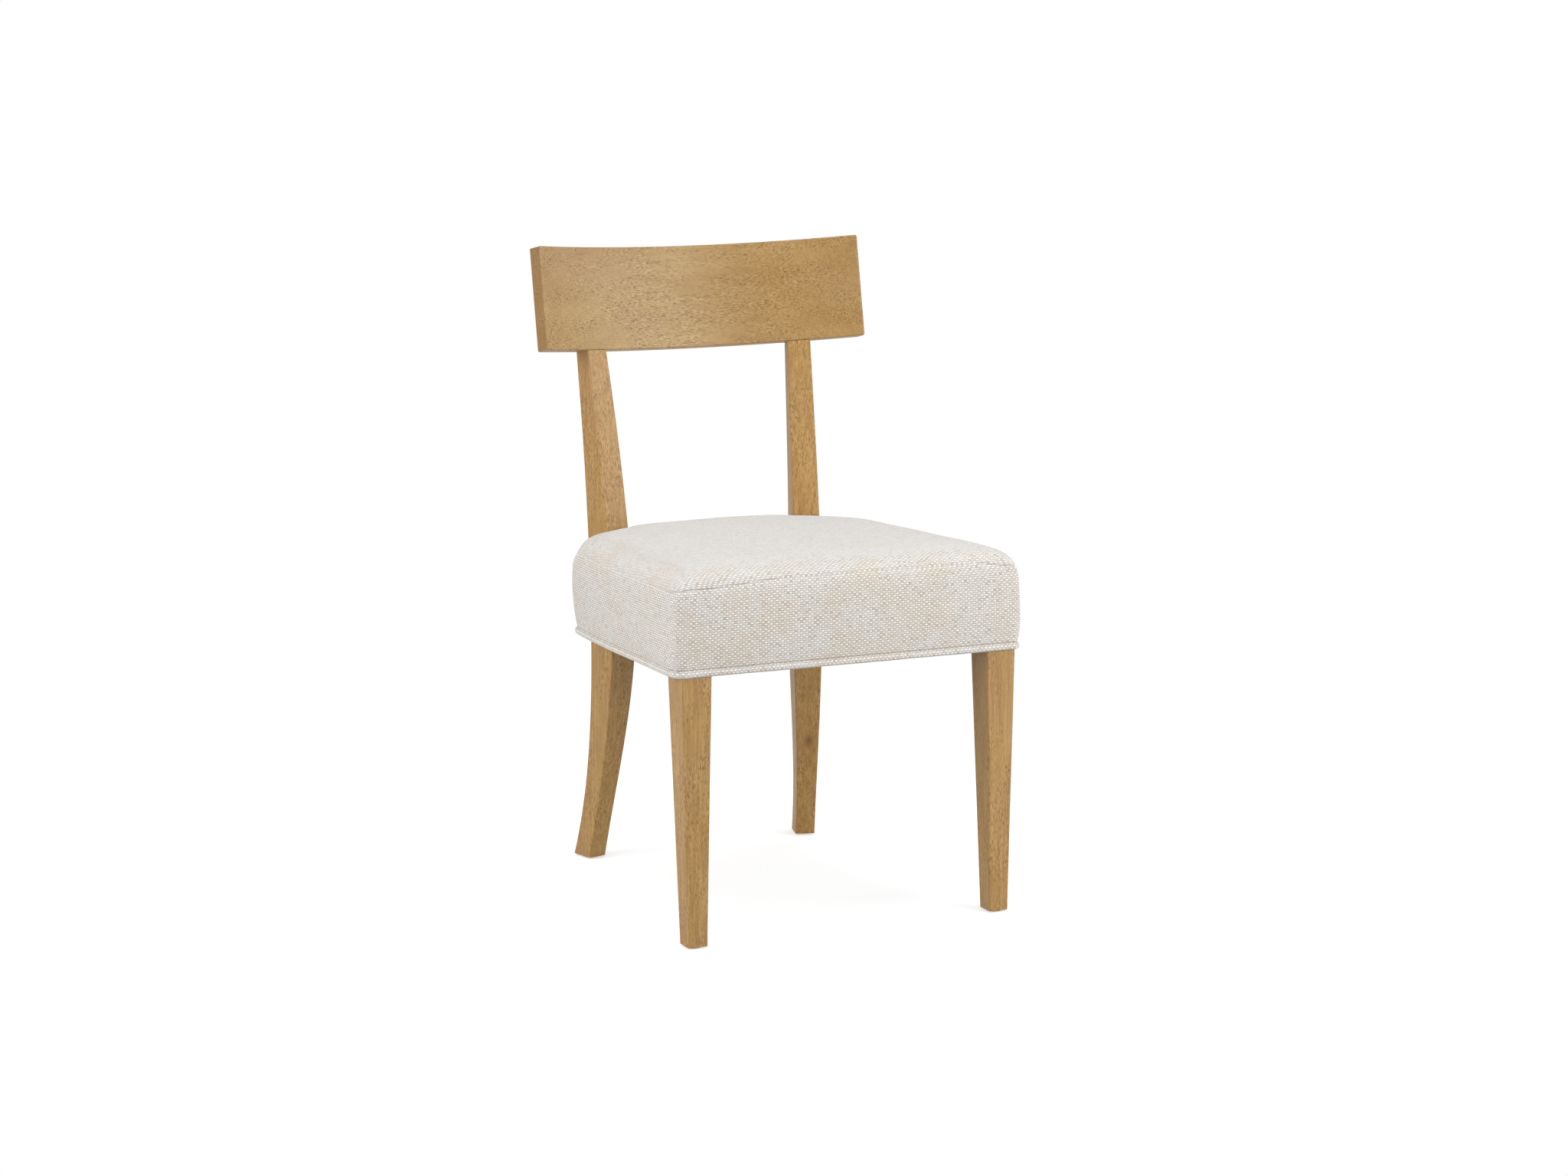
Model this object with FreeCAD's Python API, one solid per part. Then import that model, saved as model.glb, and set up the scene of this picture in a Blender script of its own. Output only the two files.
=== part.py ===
import FreeCAD, Part
import math
import os

# Klismos dining chair: sabre rear legs that run up as the back posts, a curved crest rail,
# tapered front legs and a tight upholstered seat over a dowelled rail frame.
# Millimetres. X is the sitter's width, -Y the front, Z up. The floor is z = 0.

Vec = FreeCAD.Vector

# Feet
glide_height = 2.5
glide_radius = 10.0
nail_radius = 1.2
nail_length = 16.0

# Front legs: square taper, front face upright
front_leg_front_y = -292.5
front_leg_foot_inner_x = 207.7
front_leg_foot_outer_x = 235.4
front_leg_foot_depth = 29.2
front_leg_top_inner_x = 200.4
front_leg_top_outer_x = 242.3
front_leg_top_depth = 49.0
wood_edge_radius = 2.0

# Rear legs: each is one sawn board, turned inwards about the vertical.
# v is the distance back from the turning point, measured along the turned leg.
rear_leg_turn = 15.1
rear_leg_origin_x = 128.55
rear_leg_origin_y = 101.6
leg_waist_height = 360.0
post_start_height = 480.0
foot_front_v = 112.3
foot_depth = 38.6
lower_hollow_front = 12.2
lower_hollow_rear = 17.0
bend_hollow_front = 1.8
bend_hollow_rear = 0.8
waist_front_v = 54.5
waist_depth = 51.0
post_start_front_v = 67.1
post_start_depth = 45.7
post_top_front_v = 117.4
post_top_depth = 26.8
post_hollow_front = 2.6
post_hollow_rear = 1.9
foot_width = 28.2
waist_width = 42.2
post_start_width = 38.7
post_top_width = 33.4
foot_offset = 6.7
post_top_offset = -2.8
blank_run_on = 0.25

# Crest rail: a curved board, hollow to the front, leaning back
crest_half_length = 243.8
crest_height = 145.2
crest_thickness = 28.5
crest_end_splay = 4.0
crest_radius = 496.0
crest_lean = 11.3
crest_forward = 1.0
crest_middle_height = 808.2
crest_edge_radius = 2.4
tenon_width = 20.0
tenon_thickness = 12.0
tenon_length = 45.0

# Seat outline over the fabric, seen from above
seat_front_y = -292.0
seat_front_half_width = 245.0
seat_rear_half_width = 214.5
seat_rear_width_y = 150.0
seat_side_bow = 6.0
seat_rear_y = 215.0
seat_rear_radius = 740.0
seat_front_corner = 14.0
seat_rear_corner = 66.0

# Seat heights at the front edge, above the foot of the legs, and falls towards the rear
seat_bottom_height = 359.0
seat_bottom_fall = 0.045
band_height = 121.0
seat_top_fall = 0.027
crown_height = 24.5
seam_inset = 6.0
side_bulge = 4.0
smallest_corner = 3.0

# Seat side: share of the band's height, and how far the outline is drawn in there
band_stations = [(0.0, 0.0), (0.45, -side_bulge), (0.85, -side_bulge / 2), (1.0, seam_inset)]
band_corner_growth = 0.5

# Seat crown: how far the outline is drawn in from the seam, and the share of the crown's height
crown_stations = [(0.0, 0.0), (8.0, 0.33), (26.0, 0.60), (60.0, 0.83), (115.0, 0.98)]
crown_front_corner_growth = 0.55
crown_rear_corner_growth = 0.18

# Seat frame
rail_height = 66.0
rail_thickness = 25.0
rail_inset = 6.4
ear_front_y = 118.0
ear_inner_x = 150.0
ear_lap = 5.0
brace_height = 45.0
front_brace_reach = 372.0
rear_brace_reach = 262.0
dowel_radius = 5.0
dowel_length = 40.0
dowel_low = 18.0
dowel_high = 47.0
deck_thickness = 12.0
deck_margin = 1.0
vent_radius = 12.5
vent_spacing = 95.0
deck_screw_front_x = 120.0
deck_screw_rear_x = 60.0

# Upholstery
fabric_thickness = 1.8
soft_gap = 0.3
leg_gap = 0.4
welt_radius = 4.75
welt_inset = 0.75
dust_cover_thickness = 0.8
dust_cover_margin = 4.0
dust_cover_leg_gap = 1.0

# Screws and staples
screw_radius = 2.2
screw_head_radius = 4.2
screw_head_depth = 3.0
deck_screw_length = 38.0
front_brace_screw_length = 72.0
rear_brace_screw_length = 38.0
ear_screw_length = 46.0
ear_screw_head_u = 50.0
ear_screw_v = 72.0
screw_low = 32.0
screw_high = 54.0
staple_width = 10.0
staple_wire = 1.2
staple_depth = 8.0
staple_pitch = 62.0
staple_line_inset = 18.0
staple_first_share = 0.6

far = 600.0


def box(x0, x1, y0, y1, z0, z1):
    return Part.makeBox(x1 - x0, y1 - y0, z1 - z0, Vec(x0, y0, z0))


def line(a, b):
    return Part.LineSegment(a, b).toShape()


def arc(a, b, c):
    return Part.Arc(a, b, c).toShape()


def smooth(points):
    """One fair curve through the points."""
    curve = Part.BSplineCurve()
    curve.interpolate(points)
    return curve.toShape()


def between(a, b):
    return (a + b) * 0.5


def mirrored(shape):
    return shape.mirror(Vec(0, 0, 0), Vec(1, 0, 0))


def cylinder(start, direction, length, radius):
    return Part.makeCylinder(radius, length, start, direction)


def screw(head, direction, length):
    """A countersunk wood screw; head is the middle of the flat head face."""
    cone = Part.makeCone(screw_head_radius, screw_radius, screw_head_depth, head, direction)
    shank = cylinder(head, direction, length, screw_radius)
    return cone.fuse(shank).removeSplitter()


def both_sides(shapes):
    return shapes + [mirrored(s) for s in shapes]


def underside(y):
    """Height of the seat frame's sloping underside."""
    return seat_bottom_height - seat_bottom_fall * (y - seat_front_y)


def slab(low, high):
    """Everything between two heights above the seat's sloping underside."""
    corners = [(-far, low), (far, low), (far, high), (-far, high)]
    points = [Vec(-far, y, underside(y) + h) for y, h in corners]
    points.append(points[0])
    return Part.Face(Part.makePolygon(points)).extrude(Vec(2 * far, 0, 0))


# Seat outline

def circle_through(a, b, c):
    """Centre and radius of the circle through three points in plan."""
    circle = arc(a, b, c).Curve
    return circle.Center, circle.Radius


def side_circle(inset):
    """The long bow of the right side, drawn in by inset."""
    front = Vec(seat_front_half_width, seat_front_y, 0)
    rear = Vec(seat_rear_half_width, seat_rear_width_y, 0)
    along = (rear - front).normalize()
    outward = Vec(along.y, -along.x, 0)
    middle = (front + rear) * 0.5 + outward * seat_side_bow
    centre, radius = circle_through(front, middle, rear)
    return centre, radius - inset


def rear_circle(inset):
    return Vec(0, seat_rear_y - seat_rear_radius, 0), seat_rear_radius - inset


def corner_centre(c1, r1, c2, r2, side_hint):
    """Where two circles cross, taking the crossing nearer to side_hint."""
    apart = c2 - c1
    gap = apart.Length
    along = (r1 * r1 - r2 * r2 + gap * gap) / (2 * gap)
    across = math.sqrt(r1 * r1 - along * along)
    unit = apart * (1.0 / gap)
    normal = Vec(-unit.y, unit.x, 0)
    first = c1 + unit * along + normal * across
    second = c1 + unit * along - normal * across
    if (first - side_hint).Length < (second - side_hint).Length:
        return first
    return second


def outline(inset, front_corner=None, rear_corner=None):
    """Closed seat outline in plan: straight front, bowed sides and rear, round corners."""
    rf = front_corner or max(seat_front_corner - inset, smallest_corner)
    rr = rear_corner or max(seat_rear_corner - inset, smallest_corner)
    front_y = seat_front_y + inset
    side_c, side_r = side_circle(inset)
    rear_c, rear_r = rear_circle(inset)
    cf_y = front_y + rf
    cf_x = side_c.x + math.sqrt((side_r - rf) ** 2 - (cf_y - side_c.y) ** 2)
    cf = Vec(cf_x, cf_y, 0)
    cr = corner_centre(side_c, side_r - rr, rear_c, rear_r - rr, Vec(far, far, 0))
    on_front = Vec(cf.x, front_y, 0)
    on_side_front = side_c + (cf - side_c).normalize() * side_r
    on_side_rear = side_c + (cr - side_c).normalize() * side_r
    on_rear = rear_c + (cr - rear_c).normalize() * rear_r
    front_turn = cf + ((on_front - cf) + (on_side_front - cf)).normalize() * rf
    rear_turn = cr + ((on_side_rear - cr) + (on_rear - cr)).normalize() * rr
    side_middle = side_c + ((on_side_front + on_side_rear) * 0.5 - side_c).normalize() * side_r
    rear_middle = rear_c + Vec(0, rear_r, 0)

    def flip(p):
        return Vec(-p.x, p.y, p.z)

    edges = [
        line(flip(on_front), on_front),
        arc(on_front, front_turn, on_side_front),
        arc(on_side_front, side_middle, on_side_rear),
        arc(on_side_rear, rear_turn, on_rear),
        arc(on_rear, rear_middle, flip(on_rear)),
        arc(flip(on_rear), flip(rear_turn), flip(on_side_rear)),
        arc(flip(on_side_rear), flip(side_middle), flip(on_side_front)),
        arc(flip(on_side_front), flip(front_turn), flip(on_front)),
    ]
    return Part.Wire(edges)


def tilted(wire, height, fall):
    """Lay a plan outline on a plane that falls towards the rear."""
    laid = wire.copy()
    laid.rotate(Vec(0, seat_front_y, 0), Vec(1, 0, 0), -math.degrees(math.atan(fall)))
    laid.translate(Vec(0, 0, height))
    return laid


def column(inset):
    """An upright block as large as the seat outline."""
    block = Part.Face(outline(inset)).extrude(Vec(0, 0, far))
    return block


def seat_band(inset):
    """The seat from its underside to the top seam: nearly upright sides that swell a little."""
    wires = []
    for share, draw_in in band_stations:
        fall = seat_bottom_fall + (seat_top_fall - seat_bottom_fall) * share
        corner = seat_front_corner + draw_in * band_corner_growth
        shape = outline(draw_in + inset, corner, seat_rear_corner - draw_in - inset)
        wires.append(tilted(shape, seat_bottom_height + band_height * share, fall))
    return Part.makeLoft(wires, True, False)


def seat_crown(inset):
    """The seat above the top seam: a round shoulder, then a broad low crown."""
    seam_height = seat_bottom_height + band_height
    wires = []
    for draw_in, rise in crown_stations:
        total = seam_inset + draw_in
        corner = seat_front_corner + seam_inset * band_corner_growth
        corner += draw_in * crown_front_corner_growth
        rear_corner = seat_rear_corner - seam_inset + draw_in * crown_rear_corner_growth
        shape = outline(total + inset, corner, rear_corner)
        drop = inset if draw_in > 0 else 0.0
        height = seam_height + crown_height * rise - drop
        wires.append(tilted(shape, height, seat_top_fall))
    return Part.makeLoft(wires, True, False)


# Rear legs and crest

def closed(first, second):
    """A wire of two upright curves joined by straight lines at their ends."""
    low = line(first.Vertexes[0].Point, second.Vertexes[0].Point)
    high = line(first.Vertexes[-1].Point, second.Vertexes[-1].Point)
    return Part.Wire(Part.__sortEdges__([first, low, second, high]))


def run_on(points):
    """Carry a line of points on past its top by a share of its last step."""
    return points + [points[-1] + (points[-1] - points[-2]) * blank_run_on]


def width_curve(points):
    """Nearly straight from point to point, with the bends eased."""
    held = [points[0]]
    for a, b in zip(points, points[1:]):
        held += [between(a, b), b]
    return smooth(run_on(held))


# The posts' top sizes hold at the crest's lower edge
post_top_height = crest_middle_height - crest_height / 2 * math.cos(math.radians(crest_lean))


def rear_leg_blank(grow):
    """The sawn leg and post in its own u, v, z, before it is turned into place."""

    def side_curve(foot_v, waist_v, start_v, top_v, lower_hollow, bend_hollow, upper_hollow, shift):
        foot = Vec(0, foot_v + shift, 0)
        waist = Vec(0, waist_v + shift, leg_waist_height)
        start = Vec(0, start_v + shift, post_start_height)
        top = Vec(0, top_v + shift, post_top_height)
        low_middle = between(foot, waist) - Vec(0, lower_hollow, 0)
        bend_middle = between(waist, start) - Vec(0, bend_hollow, 0)
        high_middle = between(start, top) - Vec(0, upper_hollow, 0)
        return smooth(run_on([foot, low_middle, waist, bend_middle, start, high_middle, top]))

    rear_foot_v = foot_front_v + foot_depth
    rear_waist_v = waist_front_v + waist_depth
    rear_start_v = post_start_front_v + post_start_depth
    rear_top_v = post_top_front_v + post_top_depth
    front = side_curve(foot_front_v, waist_front_v, post_start_front_v, post_top_front_v,
                       lower_hollow_front, bend_hollow_front, post_hollow_front, -grow)
    rear = side_curve(rear_foot_v, rear_waist_v, rear_start_v, rear_top_v,
                      lower_hollow_rear, bend_hollow_rear, post_hollow_rear, grow)
    sawn = Part.Face(closed(front, rear)).extrude(Vec(far, 0, 0))
    sawn.translate(Vec(-far / 2, 0, 0))

    stations = [
        (0.0, foot_width, foot_offset),
        (leg_waist_height, waist_width, 0.0),
        (post_start_height, post_start_width, 0.0),
        (post_top_height, post_top_width, post_top_offset),
    ]
    outer = width_curve([Vec(c + w / 2 + grow, 0, z) for z, w, c in stations])
    inner = width_curve([Vec(c - w / 2 - grow, 0, z) for z, w, c in stations])
    sheet = Part.Face(closed(outer, inner)).extrude(Vec(0, far, 0))
    sheet.translate(Vec(0, -far / 4, 0))
    return sawn.common(sheet)


def placed_leg(shape):
    placed = shape.copy()
    placed.rotate(Vec(0, 0, 0), Vec(0, 0, 1), -rear_leg_turn)
    placed.translate(Vec(rear_leg_origin_x, rear_leg_origin_y, 0))
    return placed


def leg_direction(u, v):
    """A direction given across and along the turned leg, in the chair's own axes."""
    turn = math.radians(rear_leg_turn)
    return Vec(u * math.cos(turn) + v * math.sin(turn), v * math.cos(turn) - u * math.sin(turn), 0)


def leg_point(u, v, z):
    return Vec(rear_leg_origin_x, rear_leg_origin_y, z) + leg_direction(u, v)


# The crest stands on the posts: at its lower edge its middle line passes just ahead of theirs
crest_sag = crest_radius - math.sqrt(crest_radius ** 2 - crest_half_length ** 2)
post_top = leg_point(post_top_offset, post_top_front_v + post_top_depth / 2, post_top_height)
crest_middle_radius = crest_radius + crest_thickness / 2
bow_at_post = math.sqrt(crest_middle_radius ** 2 - post_top.x ** 2) + crest_sag - crest_radius
crest_low_y = post_top.y - crest_forward - bow_at_post * math.cos(math.radians(crest_lean))
crest_end_y = crest_low_y + crest_height / 2 * math.sin(math.radians(crest_lean))


def crest_placed(shape):
    """Lean a shape back and put it where the crest is; its z is measured up the crest's face."""
    placed = shape.copy()
    placed.rotate(Vec(0, 0, 0), Vec(1, 0, 0), -crest_lean)
    placed.translate(Vec(0, crest_end_y, crest_middle_height))
    return placed


def crest_board():
    centre_y = crest_sag - crest_radius
    outer_radius = crest_radius + crest_thickness

    def on_arc(radius, x):
        return Vec(x, centre_y + math.sqrt(radius ** 2 - x ** 2), -crest_height / 2)

    half = crest_half_length
    rear_half = crest_half_length + crest_end_splay
    edges = [
        arc(on_arc(crest_radius, -half), on_arc(crest_radius, 0), on_arc(crest_radius, half)),
        line(on_arc(crest_radius, half), on_arc(outer_radius, rear_half)),
        arc(on_arc(outer_radius, rear_half), on_arc(outer_radius, 0), on_arc(outer_radius, -rear_half)),
        line(on_arc(outer_radius, -rear_half), on_arc(crest_radius, -half)),
    ]
    board = Part.Face(Part.Wire(edges)).extrude(Vec(0, 0, crest_height))
    return crest_placed(board.makeFillet(crest_edge_radius, board.Edges))


def crest_tenon():
    """The right post's tenon, square to the crest's lower edge."""
    tenon = box(-tenon_width / 2, tenon_width / 2, -tenon_thickness / 2, tenon_thickness / 2,
                -tenon_length / 2, tenon_length)
    tenon.rotate(Vec(0, 0, 0), Vec(0, 0, 1), -rear_leg_turn)
    tenon.rotate(Vec(0, 0, 0), Vec(1, 0, 0), -crest_lean)
    tenon.translate(post_top)
    return tenon


def below_crest():
    """Everything under the plane of the crest's lower edge."""
    return crest_placed(box(-far, far, -far, far, -2 * far, -crest_height / 2))


def long_edges(shape):
    """Edges that run mostly upwards."""
    return [e for e in shape.Edges if abs(e.BoundBox.ZLength) > 0.6 * e.Length]


# Pieces, each made for the right side where there are two

nodes = {}


def pair(name, shape):
    nodes[name + "_right"] = shape
    nodes[name + "_left"] = mirrored(shape)


def group(name, shapes):
    nodes[name] = Part.makeCompound(shapes)


def cut_all(shape, tools):
    for tool in tools:
        shape = shape.cut(tool)
    return shape


# Front legs: tapered below, rebated head inside the seat
leg_inner_x = front_leg_top_inner_x
leg_rear_y = front_leg_front_y + front_leg_top_depth


def leg_ring(inner_x, outer_x, depth, z):
    front = front_leg_front_y
    points = [(inner_x, front), (outer_x, front), (outer_x, front + depth), (inner_x, front + depth)]
    corners = [Vec(x, y, z) for x, y in points]
    return Part.makePolygon(corners + [corners[0]])


foot_ring = leg_ring(front_leg_foot_inner_x, front_leg_foot_outer_x, front_leg_foot_depth, 0)
top_ring = leg_ring(leg_inner_x, front_leg_top_outer_x, front_leg_top_depth, seat_bottom_height)
front_leg = Part.makeLoft([foot_ring, top_ring], True, True)
front_leg = front_leg.makeFillet(wood_edge_radius, long_edges(front_leg))
front_leg = front_leg.common(slab(-far, -soft_gap))
leg_head = column(rail_inset).common(box(leg_inner_x, far, -far, leg_rear_y, 0, far))
leg_head = leg_head.common(slab(-soft_gap, rail_height))
front_leg = front_leg.fuse(leg_head).removeSplitter()

# Rear legs: leg and post in one, with a tenon at the top
rear_blank = rear_leg_blank(0.0)
rear_blank = rear_blank.makeFillet(wood_edge_radius, long_edges(rear_blank))
tenon = crest_tenon()
rear_leg = placed_leg(rear_blank).common(below_crest()).fuse(tenon).removeSplitter()
leg_room = placed_leg(rear_leg_blank(leg_gap))
leg_rooms = both_sides([leg_room])

# Crest rail, mortised for both tenons
crest = cut_all(crest_board(), both_sides([tenon]))

# Rails
frame_ring = column(rail_inset).cut(column(rail_inset + rail_thickness)).common(slab(0, rail_height))
rail_middle = rail_inset + rail_thickness / 2
front_rail_y = seat_front_y + rail_middle
front_rail = frame_ring.common(box(-leg_inner_x, leg_inner_x, -far, front_rail_y + rail_thickness, 0, far))
side_rail = frame_ring.common(box(0, far, leg_rear_y, ear_front_y, 0, far))
inboard = placed_leg(box(-far, 0, -far, far, 0, far))
outboard = placed_leg(box(0, far, -far, far, 0, far))
rear_rail = frame_ring.common(box(-far, far, 0, far, 0, far)).common(inboard).common(mirrored(inboard))
rear_rail = rear_rail.cut(rear_leg).cut(mirrored(rear_leg))

# Ears: shaped blocks that carry the round rear corners outside the rear legs
ear_front = placed_leg(box(-far, far, -far, waist_front_v + ear_lap, 0, far))
ear = column(rail_inset).common(box(ear_inner_x, far, ear_front_y, far, 0, far))
ear = ear.common(slab(0, rail_height)).common(outboard.fuse(ear_front)).cut(rear_leg)

# Corner braces, glued and screwed across the inside corners
inner_block = column(rail_inset + rail_thickness).common(slab(rail_height - brace_height, rail_height))


def beyond_diagonal(reach, towards_rear):
    """Everything outside a line at 45 degrees whose x and distance along y add up to reach."""
    half = box(0, far, -far, far, 0, far)
    half.rotate(Vec(0, 0, 0), Vec(0, 0, 1), 45 * towards_rear)
    half.translate(Vec(reach / 2, towards_rear * reach / 2, 0))
    return half


front_brace = inner_block.common(beyond_diagonal(front_brace_reach, -1))
front_brace = front_brace.common(box(0, far, -far, 0, 0, far)).cut(front_leg)
rear_brace = inner_block.common(beyond_diagonal(rear_brace_reach, 1))
rear_brace = cut_all(rear_brace.common(box(0, far, 0, far, 0, far)), [rear_leg, ear])


# Dowels

def side_middle_x(y):
    """Centre line of the side rail."""
    centre, radius = side_circle(rail_middle)
    return centre.x + math.sqrt(radius ** 2 - (y - centre.y) ** 2)


def rear_middle_y(x):
    """Centre line of the rear rail."""
    centre, radius = rear_circle(rail_middle)
    return centre.y + math.sqrt(radius ** 2 - x ** 2)


def dowel(middle, direction):
    return cylinder(middle - direction * (dowel_length / 2), direction, dowel_length, dowel_radius)


def on_frame(x, y, height):
    return Vec(x, y, underside(y) + height)


dowel_heights = [dowel_low, dowel_high]
across = Vec(1, 0, 0)
along = Vec(0, 1, 0)
leg_face_u = -waist_width / 2
joint_v = (rear_middle_y(rear_leg_origin_x) - rear_leg_origin_y) * math.cos(math.radians(rear_leg_turn))
front_dowels = [dowel(on_frame(leg_inner_x, front_rail_y, h), across) for h in dowel_heights]
side_dowels = [dowel(on_frame(side_middle_x(leg_rear_y), leg_rear_y, h + dowel_radius), along)
               for h in dowel_heights]
ear_dowels = [dowel(on_frame(side_middle_x(ear_front_y), ear_front_y, h), along) for h in dowel_heights]
rear_dowels = []
for h in dowel_heights:
    joint = leg_point(leg_face_u, joint_v, 0)
    rear_dowels.append(dowel(on_frame(joint.x, joint.y, h), leg_direction(1, 0)))

front_leg = cut_all(front_leg, front_dowels + side_dowels)
front_rail = cut_all(front_rail, both_sides(front_dowels))
side_rail = cut_all(side_rail, side_dowels + ear_dowels)
ear = cut_all(ear, ear_dowels)
rear_leg = cut_all(rear_leg, rear_dowels)
rear_rail = cut_all(rear_rail, both_sides(rear_dowels))

# Screws through the braces into the legs, and through the ears into the rear legs
screw_heights = [screw_low, screw_high]
half_root = math.sqrt(0.5)


def brace_screw(corner, towards_rear, reach, height, length):
    """A screw square to the brace's long face, aimed at a corner of the leg."""
    direction = Vec(half_root, half_root * towards_rear, 0)
    depth = (corner.x + towards_rear * corner.y - reach) * half_root
    head = corner - direction * depth
    return screw(on_frame(head.x, head.y, height), direction, length)


front_corner = Vec(leg_inner_x, leg_rear_y, 0)
rear_corner = leg_point(leg_face_u, waist_front_v, 0)
front_screws = [brace_screw(front_corner, -1, front_brace_reach, h, front_brace_screw_length)
                for h in screw_heights]
rear_screws = [brace_screw(rear_corner, 1, rear_brace_reach, h, rear_brace_screw_length)
               for h in screw_heights]
ear_screws = []
ear_counterbores = []
for h in [screw_low - dowel_low / 2, screw_high - dowel_low / 2]:
    head = leg_point(ear_screw_head_u, ear_screw_v, 0)
    head = on_frame(head.x, head.y, h)
    ear_screws.append(screw(head, leg_direction(-1, 0), ear_screw_length))
    ear_counterbores.append(cylinder(head, leg_direction(1, 0), ear_screw_head_u, screw_head_radius))

front_brace = cut_all(front_brace, front_screws)
rear_brace = cut_all(rear_brace, rear_screws)
front_leg = cut_all(front_leg, front_screws)
rear_leg = cut_all(rear_leg, rear_screws + ear_screws)
ear = cut_all(ear, ear_screws + ear_counterbores)

# Seat deck: plywood notched round the rear legs, vented and screwed down
deck_top = rail_height + deck_thickness
deck = column(rail_inset + deck_margin).common(slab(rail_height, deck_top))
deck = cut_all(deck, leg_rooms)
vents = []
for column_step in [-1, 0, 1]:
    for row_step in [-1, 0, 1]:
        place = Vec(column_step * vent_spacing, row_step * vent_spacing - vent_spacing / 2, 0)
        vents.append(cylinder(place, Vec(0, 0, 1), far, vent_radius))
deck = cut_all(deck, vents)
tilt = math.atan(seat_bottom_fall)
down = Vec(0, -math.sin(tilt), -math.cos(tilt))
screw_places = [(deck_screw_front_x, front_rail_y), (deck_screw_rear_x, rear_middle_y(deck_screw_rear_x))]
screw_places += [(side_middle_x(y), y) for y in [leg_rear_y / 2, ear_front_y / 2]]
deck_screws = both_sides([screw(on_frame(x, y, deck_top), down, deck_screw_length)
                          for x, y in screw_places])
deck = cut_all(deck, deck_screws)
front_rail = cut_all(front_rail, deck_screws)
rear_rail = cut_all(rear_rail, deck_screws)
side_rail = cut_all(side_rail, deck_screws)

# Upholstery, from the inside out
lining = fabric_thickness + soft_gap
welt_height = 2 * welt_radius + soft_gap
foam_core = seat_band(lining).common(slab(deck_top, far)).fuse(seat_crown(lining)).removeSplitter()
foam = cut_all(foam_core, leg_rooms)
wadding = seat_band(lining).common(slab(welt_height, deck_top)).cut(column(rail_inset - soft_gap))
wadding = cut_all(wadding, leg_rooms)
band = seat_band(0).cut(seat_band(fabric_thickness)).common(slab(welt_height, far))
band = cut_all(band, leg_rooms)
top_panel = cut_all(seat_crown(0).cut(seat_crown(fabric_thickness)), leg_rooms)

# Welt: a covered cord that runs round the lower edge
welt_path = tilted(outline(welt_inset), seat_bottom_height + welt_radius, seat_bottom_fall)
path_start = welt_path.OrderedVertexes[0].Point
welt_section = Part.Wire(Part.makeCircle(welt_radius, path_start, Vec(1, 0, 0)))
welt = cut_all(welt_path.makePipeShell([welt_section], True, False), leg_rooms)


def rear_and_rest(shape):
    """Split a ring that the rear legs have cut: the stretch between them, and the rest."""
    solids = sorted(shape.Solids, key=lambda s: s.CenterOfMass.y)
    return solids[-1], solids[:-1]


band_back, band_front = rear_and_rest(band)
welt_back, welt_front = rear_and_rest(welt)
wadding_back, wadding_front = rear_and_rest(wadding)

# Dust cover under the frame, and its staples
leg_hole = box(leg_inner_x - dust_cover_leg_gap, far, -far, leg_rear_y + dust_cover_leg_gap, 0, far)
dust_cover = column(rail_inset + dust_cover_margin).common(slab(-dust_cover_thickness, 0))
dust_cover = cut_all(dust_cover, leg_rooms + both_sides([leg_hole]))


def staple(x, y, turned):
    """A wire staple: its crown lies on the dust cover and its legs go up into the rail."""
    half = staple_width / 2
    wire = staple_wire
    crown = box(-half, half, -wire / 2, wire / 2, -wire, 0)
    prong = box(half - wire, half, -wire / 2, wire / 2, 0, staple_depth)
    shape = crown.fuse([prong, mirrored(prong)]).removeSplitter()
    shape.rotate(Vec(0, 0, 0), Vec(0, 0, 1), turned)
    shape.rotate(Vec(0, 0, 0), Vec(1, 0, 0), -math.degrees(tilt))
    shape.translate(on_frame(x, y, -dust_cover_thickness))
    return shape


staples = []
front_line_y = seat_front_y + staple_line_inset
for step in [0.5, 1.5, 2.5]:
    staples += both_sides([staple(step * staple_pitch, front_line_y, 0)])
for step in range(5):
    y = leg_rear_y + staple_pitch * (step + staple_first_share)
    staples += both_sides([staple(side_middle_x(y), y, 90)])
for step in [0.5, 1.5]:
    x = step * staple_pitch
    staples += both_sides([staple(x, rear_middle_y(x), 0)])
dust_cover = cut_all(dust_cover, staples)
front_rail = cut_all(front_rail, staples)
side_rail = cut_all(side_rail, staples)
rear_rail = cut_all(rear_rail, staples)

# Glides nailed under the feet
front_foot = Vec((front_leg_foot_inner_x + front_leg_foot_outer_x) / 2,
                 front_leg_front_y + front_leg_foot_depth / 2, 0)
rear_foot = leg_point(foot_offset, foot_front_v + foot_depth / 2, 0)
up = Vec(0, 0, 1)
feet = [front_foot, rear_foot]
nails = both_sides([cylinder(f - up * (glide_height / 2), up, nail_length, nail_radius) for f in feet])
glides = both_sides([cylinder(f - up * glide_height, up, glide_height, glide_radius) for f in feet])
glides = [cut_all(g, nails) for g in glides]
front_leg = cut_all(front_leg, nails)
rear_leg = cut_all(rear_leg, nails)

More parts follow.
